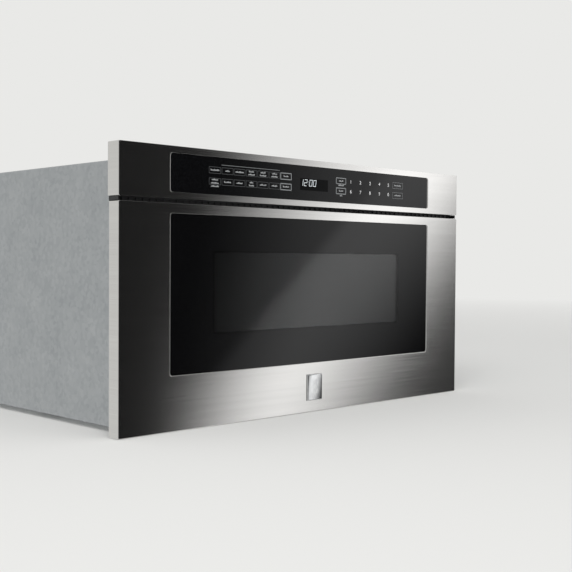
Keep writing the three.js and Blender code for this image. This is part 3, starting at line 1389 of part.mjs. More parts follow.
placePair(drawer, "drawer_arm", drawerArm(), zincSteel);
place(drawer, "drive_rack", driveRack(), whitePlastic);
placePair(drawer, "latch_hook", latchHook(), whitePlastic, [LATCH_X, doorBack, LATCH_Z]);
place(drawer, "drawer_face", drawerFace(), stainless);
place(drawer, "window_glass", windowGlass(), blackGlass);
place(drawer, "window_screen", windowScreen(), blackPaint);
place(drawer, "door_frame", doorFrame(), blackPaint);
place(drawer, "inner_window", innerWindow(), blackGlass);
place(drawer, "choke_cover", chokeCover(), blackPlastic);
place(drawer, "badge_blank", badgeBlank(), brightMetal, [0, 0, (faceBottom + windowBottom) / 2]);
place(drawer, "drawer_tub", drawerTub(), greyEnamel);
place(drawer, "ceramic_plate", ceramicPlate(), ceramicGlass);

microwaveDrawer.position.y = -CHASSIS_DEPTH / 2;

export default microwaveDrawer;
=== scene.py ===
"""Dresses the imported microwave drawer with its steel, glass, print and fasteners."""

import json
import math

import bmesh
import bpy
from bpy.props import FloatProperty, FloatVectorProperty, PointerProperty
from mathutils import Euler, Matrix, Vector


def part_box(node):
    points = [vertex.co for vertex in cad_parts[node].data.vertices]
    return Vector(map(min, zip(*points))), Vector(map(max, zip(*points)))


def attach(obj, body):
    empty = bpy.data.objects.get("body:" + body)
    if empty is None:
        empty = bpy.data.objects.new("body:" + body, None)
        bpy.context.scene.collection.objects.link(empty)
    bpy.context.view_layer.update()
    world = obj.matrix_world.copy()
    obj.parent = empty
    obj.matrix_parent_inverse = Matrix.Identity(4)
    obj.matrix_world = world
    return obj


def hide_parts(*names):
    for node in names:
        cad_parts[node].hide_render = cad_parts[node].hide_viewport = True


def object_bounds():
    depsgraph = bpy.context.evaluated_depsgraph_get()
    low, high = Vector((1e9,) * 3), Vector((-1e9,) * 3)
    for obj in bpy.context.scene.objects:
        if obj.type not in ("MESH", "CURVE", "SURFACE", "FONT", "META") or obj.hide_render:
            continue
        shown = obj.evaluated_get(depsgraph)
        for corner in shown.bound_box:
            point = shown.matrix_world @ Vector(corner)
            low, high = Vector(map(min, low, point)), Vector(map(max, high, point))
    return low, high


bl_info = {
    "name": "Microwave drawer finishes",
    "version": (1, 0, 0),
    "blender": (4, 5, 0),
    "location": "3D View > Sidebar > Drawer",
    "description": "Steel skins, glass, panel print and fasteners for a built-in microwave drawer",
    "category": "Object",
}

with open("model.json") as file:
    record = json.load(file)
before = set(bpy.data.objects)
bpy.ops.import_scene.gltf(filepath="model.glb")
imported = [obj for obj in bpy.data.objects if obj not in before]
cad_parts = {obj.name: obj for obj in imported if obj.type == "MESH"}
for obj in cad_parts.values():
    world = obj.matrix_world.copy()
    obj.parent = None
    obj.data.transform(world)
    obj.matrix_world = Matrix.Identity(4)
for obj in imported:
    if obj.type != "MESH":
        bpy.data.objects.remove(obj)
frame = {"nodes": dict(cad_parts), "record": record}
CAD_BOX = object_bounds()

MM = 0.001
FRONT_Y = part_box("drawer_face")[0].y
# the print's middle lies this far in front of the glass
PRINT_LIFT = 0.08 * MM
# how squarely a face looks a way when it is picked for that
FACING = 0.9
# turns a flat shape up, to face the front
UPRIGHT = (math.radians(90), 0, 0)
# real glass has 1.52; these are matched to a view through a polarising filter, which dulls its gloss
WINDOW_IOR = 1.32
PANEL_IOR = 1.28

# ------------------------------------------------------------------ colour and nodes


def linear(code):
    """An sRGB hex code as linear red, green, blue and alpha."""
    parts = [int(code[i : i + 2], 16) / 255 for i in (0, 2, 4)]
    return (*[c / 12.92 if c <= 0.04045 else ((c + 0.055) / 1.055) ** 2.4 for c in parts], 1.0)


def add(tree, kind, inputs=None, stops=(), **settings):
    """Adds a node with its settings, fills or links its inputs, and sets the stops of a colour ramp."""
    node = tree.nodes.new("ShaderNode" + kind)
    for name, value in settings.items():
        setattr(node, name, value)
    for name, value in (inputs or {}).items():
        if isinstance(value, bpy.types.NodeSocket):
            tree.links.new(value, node.inputs[name])
        else:
            node.inputs[name].default_value = value
    for number, (position, code) in enumerate(stops):
        node.color_ramp.elements[number].position = position
        node.color_ramp.elements[number].color = linear(code)
    return node


def new_material(name):
    """An empty material, its node tree, and the Object coordinates that its patterns lie on."""
    material = bpy.data.materials.new(name)
    material.use_nodes = True
    tree = material.node_tree
    tree.nodes.clear()
    return material, tree, add(tree, "TexCoord").outputs["Object"]


# ------------------------------------------------------------------ finishes

# the values of a noise over which a finish changes: nearly all of them, and only the middle ones
MOST = (0.3, 0.7)
MIDDLE = (0.35, 0.65)
# the enamel's grit is about 0.2 mm; it's drawn at 1.4 mm so that it shows
ENAMEL_GRIT = 1.4 * MM
METAL = {"Metallic": 1.0}


def dress(tree, tone, gloss=None, relief=None, surface=None):
    """Adds the shader and the output of a finish whose colour, gloss and relief follow its patterns.

    tone is a pattern's value, the two values between which the colour changes, and the colour at
    each. gloss is the same with two roughnesses. relief is a pattern's value and its height in mm.
    surface holds the values for the shader's own sockets.
    """
    value, low, high, first, last = tone
    ramp = add(tree, "ValToRGB", {"Fac": value}, [(low, first), (high, last)])
    inputs = {"Base Color": ramp.outputs["Color"]}
    if gloss:
        span = dict(zip(("Value", "From Min", "From Max", "To Min", "To Max"), gloss))
        inputs["Roughness"] = add(tree, "MapRange", span).outputs["Result"]
    if relief:
        bump = add(tree, "Bump", {"Height": relief[0], "Distance": relief[1] * MM})
        inputs["Normal"] = bump.outputs["Normal"]
    shader = add(tree, "BsdfPrincipled", {**inputs, **(surface or {})})
    add(tree, "OutputMaterial", {"Surface": shader.outputs["BSDF"]})


def clouded(name, tones, gloss, cloud, tooth=None, surface=None):
    """A finish whose tone and gloss drift together in soft clouds, over a fine even tooth.

    tones are two colours, gloss two roughnesses, cloud the clouds' width in mm, and tooth the tooth's
    width and height in mm. surface holds the values for the shader's own sockets.
    """
    material, tree, place = new_material(name)
    noise = {"Vector": place, "Scale": 1 / (cloud * MM), "Detail": 3}
    drift = add(tree, "TexNoise", noise).outputs["Fac"]
    relief = None
    if tooth:
        width, height = tooth
        grit = add(tree, "TexNoise", {"Vector": place, "Scale": 1 / (width * MM), "Detail": 1})
        relief = (grit.outputs["Fac"], height)
    dress(tree, (drift, *MIDDLE, *tones), (drift, *MIDDLE, *gloss), relief, surface)
    return material


def brushed_stainless():
    """Ferritic stainless sheet, belt-brushed along its width.

    The belt leaves long level scratches: highlights stretch upright and fine level lines show.
    """
    material, tree, place = new_material("brushed_stainless")
    # scratches some 170 mm long; real ones are 0.05 mm apart, drawn at 1.5 mm so that a pixel holds them
    fine = add(tree, "Mapping", {"Vector": place, "Scale": (6, 6, 1 / (1.5 * MM))}).outputs["Vector"]
    scratches = {"Vector": fine, "Scale": 1, "Detail": 3, "Roughness": 0.6}
    lines = add(tree, "TexNoise", scratches).outputs["Fac"]
    # passes of the belt, about 8 mm apart and 670 mm long
    wide = add(tree, "Mapping", {"Vector": place, "Scale": (1.5, 1.5, 1 / (8 * MM))}).outputs["Vector"]
    passes = add(tree, "TexNoise", {"Vector": wide, "Scale": 1, "Detail": 2}).outputs["Fac"]
    mixed = add(tree, "Mix", {0: 0.5, 2: lines, 3: passes}).outputs[0]
    brushed = {**METAL, "Anisotropic": 0.88, "Anisotropic Rotation": 0.25}
    tone = (mixed, *MOST, "cbcac8", "d3d2d0")
    dress(tree, tone, (lines, *MOST, 0.13, 0.17), (lines, 0.002), brushed)
    return material


def galvanised_sheet():
    """Zinc-coated steel sheet with a small spangle: dull grey, soft clouds and a faint crystal pattern."""
    material, tree, place = new_material("galvanised_sheet")
    spangle = add(tree, "TexVoronoi", {"Vector": place, "Scale": 1 / (6 * MM)})
    crystal = add(tree, "SeparateColor", {"Color": spangle.outputs["Color"]}).outputs[0]
    clouds = add(tree, "TexNoise", {"Vector": place, "Scale": 1 / (50 * MM), "Detail": 3}).outputs["Fac"]
    mixed = add(tree, "Mix", {0: 0.65, 2: crystal, 3: clouds}).outputs[0]
    grit = add(tree, "TexNoise", {"Vector": place, "Scale": 1 / (2 * MM)}).outputs["Fac"]
    tone = (mixed, 0.2, 0.8, "9a9ea1", "b4b7b9")
    dress(tree, tone, (mixed, *MOST, 0.36, 0.5), (grit, 0.01), METAL)
    return material


def printed_glass():
    """Float glass with black enamel fired on its back: deep black under a clear gloss, with a fine fleck."""
    material, tree, place = new_material("printed_glass")
    grit = add(tree, "TexNoise", {"Vector": place, "Scale": 1 / ENAMEL_GRIT, "Detail": 1}).outputs["Fac"]
    surface = {"Roughness": 0.06, "IOR": PANEL_IOR}
    dress(tree, (grit, 0.45, 0.75, "0a0a0b", "17181a"), surface=surface)
    return material


def bordered_glass(field):
    """Float glass with a black enamel border: a sharp gloss all over, and clear in the middle.

    field is the clear field's middle height, width and height. There the back of the pane and the
    screen behind it shine through, so it looks a little lighter than the border.
    """
    middle_z, width, height = field
    material, tree, place = new_material("bordered_glass")
    axes = add(tree, "SeparateXYZ", {"Vector": place}).outputs
    clear = None
    for axis, middle, size in (("X", 0.0, width), ("Z", middle_z, height)):
        away = add(tree, "Math", {0: axes[axis], 1: -middle}, operation="ADD").outputs[0]
        away = add(tree, "Math", {0: away}, operation="ABSOLUTE").outputs[0]
        # the enamel's dots thin out over the last few millimetres
        edge = {"Value": away, "From Min": size / 2 + MM, "From Max": size / 2 - 3 * MM}
        inside = add(tree, "MapRange", edge).outputs["Result"]
        if clear:
            inside = add(tree, "Math", {0: clear, 1: inside}, operation="MULTIPLY").outputs[0]
        clear = inside
    grit = add(tree, "TexNoise", {"Vector": place, "Scale": 1 / ENAMEL_GRIT, "Detail": 1}).outputs["Fac"]
    enamel = add(tree, "ValToRGB", {"Fac": grit}, [(0.45, "0a0a0b"), (0.75, "121314")])
    streaks = add(tree, "TexNoise", {"Vector": place, "Scale": 1 / (90 * MM), "Detail": 1})
    tint = add(tree, "ValToRGB", {"Fac": streaks.outputs["Fac"]}, [(0.35, "eff1f1"), (0.65, "f4f5f5")])
    # the glass shows its own tint only where all the enamel has gone
    bare = add(tree, "Math", {0: clear, 1: 0.97}, operation="GREATER_THAN").outputs[0]
    colours = {0: bare, 6: enamel.outputs["Color"], 7: tint.outputs["Color"]}
    colour = add(tree, "Mix", colours, data_type="RGBA").outputs[2]
    surface = {"Base Color": colour, "Roughness": 0.02, "IOR": WINDOW_IOR, "Transmission Weight": clear}
    shader = add(tree, "BsdfPrincipled", surface)
    add(tree, "OutputMaterial", {"Surface": shader.outputs["BSDF"]})
    return material


def painted_screen():
    """Steel screen in dead matt black paint, its round holes in a staggered pattern painted near black as
    painted shade.
    """
    material, tree, place = new_material("painted_screen")
    # the holes are 1.9 mm apart; they're drawn at 3.2 mm so that they show behind the glass
    pitch = 3.2 * MM
    row = pitch * math.sqrt(3) / 2
    axes = add(tree, "SeparateXYZ", {"Vector": place}).outputs
    nearest = None
    for shift_x, shift_z in ((0, 0), (pitch / 2, row)):
        x = add(tree, "Math", {0: axes["X"], 1: shift_x}, operation="ADD").outputs[0]
        z = add(tree, "Math", {0: axes["Z"], 1: shift_z}, operation="ADD").outputs[0]
        cell_x = add(tree, "Math", {0: x, 1: -pitch / 2, 2: pitch / 2}, operation="WRAP").outputs[0]
        cell_z = add(tree, "Math", {0: z, 1: -row, 2: row}, operation="WRAP").outputs[0]
        offset = add(tree, "CombineXYZ", {"X": cell_x, "Z": cell_z}).outputs["Vector"]
        away = add(tree, "VectorMath", {0: offset}, operation="LENGTH").outputs["Value"]
        if nearest:
            away = add(tree, "Math", {0: nearest, 1: away}, operation="MINIMUM").outputs[0]
        nearest = away
    # a hole's edge is about a third of the pitch from its middle
    edge = {"Value": nearest, "From Min": 0.3 * pitch, "From Max": 0.36 * pitch}
    web_not_hole_shade = add(tree, "MapRange", edge).outputs["Result"]
    # the holes are not cut: their near black is painted shade for the dark inside behind the screen
    tone = add(tree, "ValToRGB", {"Fac": web_not_hole_shade}, [(0, "050505"), (1, "1a1b1c")])
    shader = add(tree, "BsdfDiffuse", {"Color": tone.outputs["Color"], "Roughness": 0.4})
    add(tree, "OutputMaterial", {"Surface": shader.outputs["BSDF"]})
    return material


def glass_ceramic():
    """Ground glass-ceramic plate: near black with a light fleck and a hard gloss."""
    material, tree, place = new_material("glass_ceramic")
    fleck = add(tree, "TexVoronoi", {"Vector": place, "Scale": 1 / (2.2 * MM)}).outputs["Distance"]
    wear = add(tree, "TexNoise", {"Vector": place, "Scale": 1 / (20 * MM)}).outputs["Fac"]
    tone = (fleck, 0.08, 0.22, "8b8c8d", "2c2d2f")
    dress(tree, tone, (wear, *MOST, 0.08, 0.15), surface={"IOR": 1.53})
    return material


def mica_board():
    """Pressed mica flakes: pale brown, with a pearly lustre that changes from flake to flake."""
    material, tree, place = new_material("mica_board")
    flakes = add(tree, "TexVoronoi", {"Vector": place, "Scale": 1 / (4 * MM)})
    flake = add(tree, "SeparateColor", {"Color": flakes.outputs["Color"]}).outputs[0]
    surface = {"IOR": 1.58, "Coat Weight": 0.2}
    dress(tree, (flake, 0.1, 0.9, "b9ab8d", "d3c9ae"), (flake, 0, 1, 0.3, 0.55), surface=surface)
    return material


def epoxy_board():
    """Epoxy board under green solder resist: glossy green with lighter copper tracks below it."""
    material, tree, place = new_material("epoxy_board")
    tracks = {"Vector": place, "Scale": 1 / (10 * MM), "Mortar Size": 0.06}
    cells = add(tree, "TexBrick", tracks).outputs["Fac"]
    surface = {"Roughness": 0.3, "IOR": 1.55}
    dress(tree, (cells, 0.4, 0.6, "17502f", "2c7a48"), relief=(cells, 0.03), surface=surface)
    return material


def varnished_laminations():
    """Silicon steel stampings, stacked and dipped in varnish.

    The eye sees dark layered lines under a patchy brown gloss.
    """
    material, tree, place = new_material("varnished_laminations")
    # the sheets are 0.5 mm; at this scale a light and a dark one take 3.1 mm, so that the stack shows
    waves = {"Vector": place, "Scale": 100, "Distortion": 0.3}
    layers = add(tree, "TexWave", waves, bands_direction="Y").outputs["Fac"]
    patches = add(tree, "TexNoise", {"Vector": place, "Scale": 1 / (17 * MM), "Detail": 3}).outputs["Fac"]
    mixed = add(tree, "Mix", {0: 0.5, 2: layers, 3: patches}).outputs[0]
    tone = (mixed, 0.25, 0.75, "3c3834", "6a6560")
    dress(tree, tone, (patches, *MOST, 0.3, 0.55), (layers, 0.05), {"Metallic": 0.7})
    return material


def mill_aluminium():
    """Rolled and die-cast aluminium as it leaves the tool: pale, satin, with faint rolling lines."""
    material, tree, place = new_material("mill_aluminium")
    # the lines are 50 mm long and 0.1 mm apart; they're drawn 1.7 mm apart so that they show
    drawn = add(tree, "Mapping", {"Vector": place, "Scale": (20, 600, 600)}).outputs["Vector"]
    lines = add(tree, "TexNoise", {"Vector": drawn, "Scale": 1}).outputs["Fac"]
    tone = (lines, *MIDDLE, "bcbfc1", "d0d2d3")
    dress(tree, tone, (lines, *MOST, 0.32, 0.46), (lines, 0.01), METAL)
    return material


def painted_and_moulded():
    """The paints, platings, plastics, rubber and inks: plain colours that only drift a little."""
    plastic = {"IOR": 1.5}
    # the coat against glare takes most of the acrylic's shine, as a low index does
    filter_sheet = {"IOR": 1.16}
    lit = {"IOR": 1.5, "Emission Color": linear("f0f3f4"), "Emission Strength": 0.6}
    peel, grain = (0.8, 0.02), (0.55, 0.02)
    ink_gloss = (0.45, 0.55)
    return {
        # stoved paint on steel, with a slight orange peel
        "black_paint": clouded("black_stoved_paint", ("1a1b1c", "202123"), (0.42, 0.5), 80, peel, plastic),
        "grey_enamel": clouded("grey_cavity_paint", ("9fa09c", "aaaba7"), (0.3, 0.38), 80, peel, plastic),
        # zinc die casting, buffed and chromed: a mirror with slight waves from the buffing
        "polished_metal": clouded("bright_chrome", ("bfc0c1", "cccdcd"), (0.07, 0.12), 8, (8, 0.02), METAL),
        # bright zinc plating on the screws, blue passivated: silvery with a cool tinge
        "zinc_screw": clouded("zinc_plate", ("a9afb5", "c3c7cb"), (0.2, 0.32), 3, None, METAL),
        # injection-moulded plastics with a spark-eroded grain of half a millimetre
        "black_plastic": clouded("black_moulding", ("17181a", "1e1f21"), (0.42, 0.52), 60, grain, plastic),
        "white_plastic": clouded("natural_moulding", ("d9d7ce", "e3e1da"), (0.34, 0.44), 60, grain, plastic),
        # moulded rubber, matt charcoal with a dusty bloom
        "bush_rubber": clouded("moulded_rubber", ("161616", "232322"), (0.72, 0.88), 10, (1, 0.03), plastic),
        # screen-printed inks, flat and matt, with the mesh marks of the printing screen
        "white_ink": clouded("white_ink", ("e9eaeb", "f6f7f7"), ink_gloss, 0.7, None, plastic),
        "pale_ink": clouded("pale_ink", ("c2c5c7", "d6d8da"), ink_gloss, 0.7, None, plastic),
        "grey_ink": clouded("grey_ink", ("8a8d8f", "9da0a2"), ink_gloss, 0.7, None, plastic),
        "faint_ink": clouded("faint_ink", ("3f4143", "4c4e50"), ink_gloss, 0.7, None, plastic),
        # smoked acrylic over the display: blacker than the glass around it
        "display_filter": clouded(
            "smoked_acrylic", ("020303", "050606"), (0.1, 0.14), 3, None, filter_sheet
        ),
        # phosphor segments of a fluorescent display, a little uneven along each bar
        "lit_segments": clouded("lit_phosphor", ("c9d4da", "dde6ea"), (0.35, 0.45), 2, None, lit),
    }


def make_finishes(window):
    """The finish of each material slot in the record, and of the pieces made here."""
    low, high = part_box("window_screen")
    field = ((low.z + high.z) / 2, window.clear_width, window.clear_height)
    return {
        "brushed_front": brushed_stainless(),
        "zinc_steel": galvanised_sheet(),
        "black_glass": printed_glass(),
        "window_glass": bordered_glass(field),
        "window_screen": painted_screen(),
        "glass_ceramic": glass_ceramic(),
        "mica_sheet": mica_board(),
        "board_green": epoxy_board(),
        "iron_core": varnished_laminations(),
        "light_alloy": mill_aluminium(),
        **painted_and_moulded(),
    }


# filled once the settings are registered
FINISHES = {}

# ------------------------------------------------------------------ modelling by hand


def clear_selection():
    """Leaves edit mode and deselects everything."""
    if bpy.context.object and bpy.context.object.mode != "OBJECT":
        bpy.ops.object.mode_set(mode="OBJECT")
    bpy.ops.object.select_all(action="DESELECT")


def only(piece):
    """Selects one piece and nothing else."""
    clear_selection()
    piece.select_set(True)
    bpy.context.view_layer.objects.active = piece


def new_piece(name, primitive, centre, scale=None, turn=(0, 0, 0), **options):
    """Adds a primitive at its size and place, with its place kept in its mesh."""
    clear_selection()
    primitive(location=centre, rotation=turn, **options)
    piece = bpy.context.object
    piece.name = name
    piece.data.name = name
    if scale is not None:
        piece.scale = scale
    bpy.ops.object.transform_apply(location=True, rotation=True, scale=True)
    return piece


def edit(piece):
    """Opens one piece in edit mode."""
    only(piece)
    bpy.ops.object.mode_set(mode="EDIT")


def pick(piece, kind, test):
    """In edit mode, selects just the faces or edges that pass the test."""
    mesh = bmesh.from_edit_mesh(piece.data)
    bpy.context.tool_settings.mesh_select_mode = (False, kind == "EDGE", kind == "FACE")
    for group in (mesh.faces, mesh.edges, mesh.verts):
        for element in group:
            element.select_set(False)
    for element in mesh.edges if kind == "EDGE" else mesh.faces:
        if test(element):
            element.select_set(True)
    bmesh.update_edit_mesh(piece.data)


def push(offset):
    """Extrudes what is selected."""
    bpy.ops.mesh.extrude_region_move(TRANSFORM_OT_translate={"value": offset})


def face_outwards(piece):
    """Merges doubles and turns the faces outwards."""
    edit(piece)
    bpy.ops.mesh.select_all(action="SELECT")
    bpy.ops.mesh.remove_doubles(threshold=0.002 * MM)
    bpy.ops.mesh.normals_make_consistent(inside=False)
    bpy.ops.object.mode_set(mode="OBJECT")


def apply_modifier(piece, kind, **settings):
    """Adds a modifier with its settings and applies it."""
    only(piece)
    modifier = piece.modifiers.new(kind.title(), kind)
    for name, value in settings.items():
        setattr(modifier, name, value)
    bpy.ops.object.modifier_apply(modifier=modifier.name)


def round_edges(piece, width, segments, angle):
    """Rounds the edges that are sharper than the angle, in degrees."""
    limit = {"limit_method": "ANGLE", "angle_limit": math.radians(angle)}
    apply_modifier(piece, "BEVEL", width=width, segments=segments, **limit)


def smooth(piece, angle):
    """Smooth shading that keeps the large flat faces flat beside their rounded edges."""
    only(piece)
    bpy.ops.object.shade_smooth_by_angle(angle=math.radians(angle))
    apply_modifier(piece, "WEIGHTED_NORMAL", weight=100, keep_sharp=True)


def coat(piece, finish):
    """Gives a piece or a node its material."""
    piece.data.materials.clear()
    piece.data.materials.append(FINISHES[finish])


def finish_piece(piece, finish, body, replaced=()):
    """Gives a piece its material, its body and the nodes that it stands for."""
    coat(piece, finish)
    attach(piece, body)
    if replaced:
        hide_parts(*replaced)


def join_all(pieces, name):
    """Joins pieces into one."""
    clear_selection()
    for piece in pieces:
        piece.select_set(True)
    bpy.context.view_layer.objects.active = pieces[0]
    bpy.ops.object.join()
    pieces[0].name = name
    return pieces[0]


def copies(model, places, name):
    """Copies a modelled piece to each offset or matrix, and joins the copies into one piece."""
    made = []
    for place in places:
        twin = model.copy()
        twin.data = model.data.copy()
        bpy.context.collection.objects.link(twin)
        twin.data.transform(place if isinstance(place, Matrix) else Matrix.Translation(place))
        made.append(twin)
    bpy.data.objects.remove(model)
    return join_all(made, name)


# ------------------------------------------------------------------ front skins


def rounded_loop(name, centre, width, height, corner):
    """An upright rounded rectangle of edges alone, facing the front."""
    plane = bpy.ops.mesh.primitive_plane_add
    loop = new_piece(name, plane, centre, (width, height, 1), UPRIGHT, size=1)
    edit(loop)
    bpy.ops.mesh.select_all(action="SELECT")
    bpy.ops.mesh.bevel(offset=corner, segments=8, affect="VERTICES")
    bpy.ops.mesh.select_all(action="SELECT")
    bpy.ops.mesh.delete(type="ONLY_FACE")
    bpy.ops.object.mode_set(mode="OBJECT")
    return loop


def framed_plate(name, centre, size, corner, opening, opening_corner):
    """A flat upright plate with a rounded opening. opening is its middle height, width and height."""
    middle_z, width, height = opening
    outside = rounded_loop(name, centre, size[0], size[1], corner)
    middle = Vector((centre[0], centre[1], middle_z))
    inside = rounded_loop("inside", middle, width, height, opening_corner)
    plate = join_all([outside, inside], name)
    edit(plate)
    bpy.ops.mesh.select_all(action="SELECT")
    bpy.ops.mesh.bridge_edge_loops()
    bpy.ops.object.mode_set(mode="OBJECT")
    return plate


def steel_skin(name, low, high, opening, sizes):
    """A folded sheet with a rounded opening: rolled outer edges, and a lip turned in around the glass.

    low and high are the corners of the node that it stands for, and opening is the glass opening's
    middle height, width and height.
    """
    centre = Vector((0, low.y, (low.z + high.z) / 2))
    size = (high.x - low.x, high.z - low.z)
    skin = framed_plate(name, centre, size, sizes.outer_corner, opening, sizes.opening_corner)
    half_x = opening[1] / 2 + MM
    half_z = opening[2] / 2 + MM

    def near_glass(vertex):
        return abs(vertex.co.x) < half_x and abs(vertex.co.z - opening[0]) < half_z

    edit(skin)
    pick(skin, "EDGE", lambda edge: edge.is_boundary and not any(near_glass(v) for v in edge.verts))
    push((0, high.y - low.y, 0))
    pick(skin, "EDGE", lambda edge: edge.is_boundary and all(near_glass(v) for v in edge.verts))
    push((0, sizes.lip_depth, 0))
    bpy.ops.object.mode_set(mode="OBJECT")
    face_outwards(skin)
    if max(skin.data.polygons, key=lambda face: face.area).normal.y > 0:
        skin.data.flip_normals()
    round_edges(skin, sizes.roll, segments=4, angle=50)
    apply_modifier(skin, "SOLIDIFY", thickness=sizes.sheet, offset=-1)
    smooth(skin, angle=40)
    return skin


class FrontSizes(bpy.types.PropertyGroup):
    roll: FloatProperty(
        name="Edge roll",
        description="Radius that the steel sheet is folded to at the edges of the front",
        default=1.4 * MM,
        min=0.2 * MM,
        unit="LENGTH",
    )
    sheet: FloatProperty(
        name="Sheet",
        description="Thickness of the stainless sheet",
        default=0.9 * MM,
        min=0.3 * MM,
        unit="LENGTH",
    )
    lip_depth: FloatProperty(
        name="Lip depth",
        description="How far the sheet is turned in around a glass",
        default=3.6 * MM,
        min=MM,
        unit="LENGTH",
    )
    outer_corner: FloatProperty(
        name="Outer corner",
        description="Corner radius of the two steel fronts",
        default=2.0 * MM,
        min=0.2 * MM,
        unit="LENGTH",
    )
    opening_corner: FloatProperty(
        name="Opening corner",
        description="Corner radius of the openings for the glasses",
        default=4.5 * MM,
        min=0.5 * MM,
        unit="LENGTH",
    )
    split_trim: FloatProperty(
        name="Split trim",
        description="How much the panel front is trimmed along the air split below it",
        default=0.8 * MM,
        min=0,
        unit="LENGTH",
    )
    glass_gap: FloatProperty(
        name="Glass gap",
        description="Gap between a glass and its opening",
        default=0.3 * MM,
        min=0,
        unit="LENGTH",
    )


def opening_around(glass, gap):
    """Middle height, width and height of the opening around a glass node."""
    low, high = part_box(glass)
    return (low.z + high.z) / 2, high.x - low.x + 2 * gap, high.z - low.z + 2 * gap


class DRAWER_OT_front_skins(bpy.types.Operator):
    """Model the stainless drawer front and the control panel's fascia as folded sheets"""

    bl_idname = "drawer.front_skins"
    bl_label = "Front skins"

    def execute(self, context):
        sizes = context.scene.drawer_front
        for name, node, glass, body in (
            ("drawer_front", "drawer_face", "window_glass", "drawer"),
            ("panel_front", "control_fascia", "control_glass", "chassis"),
        ):
            low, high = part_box(node)
            if node == "control_fascia":
                low.z += sizes.split_trim
            opening = opening_around(glass, sizes.glass_gap)
            skin = steel_skin(name, low, high, opening, sizes)
            finish_piece(skin, "brushed_front", body, (node,))
        return {"FINISHED"}


class DRAWER_OT_split_grille(bpy.types.Operator):
    """Model the black ribbed strip that closes the air split behind the two fronts"""

    bl_idname = "drawer.split_grille"
    bl_label = "Air split grille"

    def execute(self, context):
        set_back, drawer_gap, frame_gap, lap = 9 * MM, 0.7 * MM, 0.3 * MM, 0.5 * MM
        rim, channel = 0.8 * MM, 3 * MM
        ribs, rib_width, rib_height = 63, 1 * MM, 2 * MM
        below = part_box("drawer_face")[1].z
        above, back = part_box("control_fascia")[0].z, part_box("front_frame")[0].y
        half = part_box("control_carrier")[1].x
        low = Vector((-half, FRONT_Y + set_back, below + drawer_gap))
        high = Vector((half, back - frame_gap, above + lap))
        cube = bpy.ops.mesh.primitive_cube_add
        strip = new_piece("split_grille", cube, (low + high) / 2, high - low, size=1)
        edit(strip)
        pick(strip, "FACE", lambda face: face.normal.y < -FACING)
        bpy.ops.mesh.inset(thickness=rim, depth=0)
        push((0, channel, 0))
        cuts = [low.x + (high.x - low.x) * i / (ribs + 1) for i in range(1, ribs + 1)]
        for x in cuts:
            for offset in (-rib_width / 2, rib_width / 2):
                bpy.ops.mesh.select_all(action="SELECT")
                bpy.ops.mesh.bisect(plane_co=(x + offset, 0, 0), plane_no=(1, 0, 0))
        floor_y = low.y + channel - 0.1 * MM

        def rib(face):
            middle = face.calc_center_median()
            near = min(abs(middle.x - x) for x in cuts)
            return face.normal.y < -FACING and middle.y > floor_y and near < 0.4 * rib_width

        pick(strip, "FACE", rib)
        push((0, -rib_height, 0))
        bpy.ops.object.mode_set(mode="OBJECT")
        # a cheek at each end reaches forward, so that nobody looks past the strip from the side
        cheek_width, cheek_lap, cheek_y = 1.2 * MM, 0.4 * MM, FRONT_Y + 2.5 * MM
        size = (cheek_width, low.y - cheek_y + cheek_lap, high.z - low.z)
        pieces = [strip]
        for side in (-1, 1):
            middle = (side * (half - cheek_width / 2), cheek_y + size[1] / 2, (low.z + high.z) / 2)
            cheek = new_piece("cheek", cube, middle, size, size=1)
            round_edges(cheek, 0.2 * MM, segments=2, angle=30)
            pieces.append(cheek)
        strip = join_all(pieces, "split_grille")
        finish_piece(strip, "black_plastic", "chassis")
        return {"FINISHED"}


# ------------------------------------------------------------------ window


class WindowSizes(bpy.types.PropertyGroup):
    clear_width: FloatProperty(
        name="Clear width",
        description="Width of the clear field in the window's enamel border",
        default=425 * MM,
        min=50 * MM,
        unit="LENGTH",
    )
    clear_height: FloatProperty(
        name="Clear height",
        description="Height of the clear field in the window's enamel border",
        default=123 * MM,
        min=20 * MM,
        unit="LENGTH",
    )


# ------------------------------------------------------------------ panel print


class PrintSizes(bpy.types.PropertyGroup):
    numeral_height: FloatProperty(
        name="Numeral height",
        description="Height of the printed numerals",
        default=5.6 * MM,
        min=MM,
        unit="LENGTH",
    )
    clock_height: FloatProperty(
        name="Clock height",
        description="Height of the lit clock digits",
        default=9.6 * MM,
        min=MM,
        unit="LENGTH",
    )
    line: FloatProperty(
        name="Line",
        description="Width of the bold key outlines",
        default=1.3 * MM,
        min=0.2 * MM,
        unit="LENGTH",
    )


# the layout of the print, in millimetres: the keys' middles across and up, left and right of the
# display and at the far right, and the numerals' middles across
KEY_COLUMNS = [-209.9, -185.6, -162.0, -138.0, -114.3, -90.1, -65.3]
KEY_ROWS = [364.9, 348.6]
SIDE_KEYS = [(61.3, 365.1), (61.3, 348.8)]
END_KEYS = [(207.3, 365.6), (207.3, 348.4)]
NUMERAL_COLUMNS = [85.4, 109.3, 133.7, 158.3, 182.0]
# the width of each key's word, and how far its two lines stand above and below the key's middle
UPPER_WORDS = [(17, 0), (9, 0), (17, 0), (14, 2.2), (13, 2.2), (13, 2.2), (11, 0)]
LOWER_WORDS = [(15, 2.4), (13, 0), (12, 0), (10, 2.2), (14, 0), (12, 0), (13, 0)]
# the words beside those, each with its middle across and up, and its width
OTHER_WORDS = [
    (-209.9, 341.6, 15),
    (61.3, 365.1, 11),
    (61.3, 348.8, 11),
    (61.3, 357.9, 13),
    (61.3, 341.2, 6),
    (207.3, 365.4, 18),
    (207.3, 348.4, 17),
]
# the line over a group of keys: its middle across and up, its width and its height
GROUP_LINE = (-138.0, 373.2, 118.7, 0.55)
# the display's left, right, middle height and height, and the clock's middle in it
DISPLAY = (-33.8, 29.8, 355.0, 18.7)
CLOCK_MIDDLE = (-13.6, 357.6)
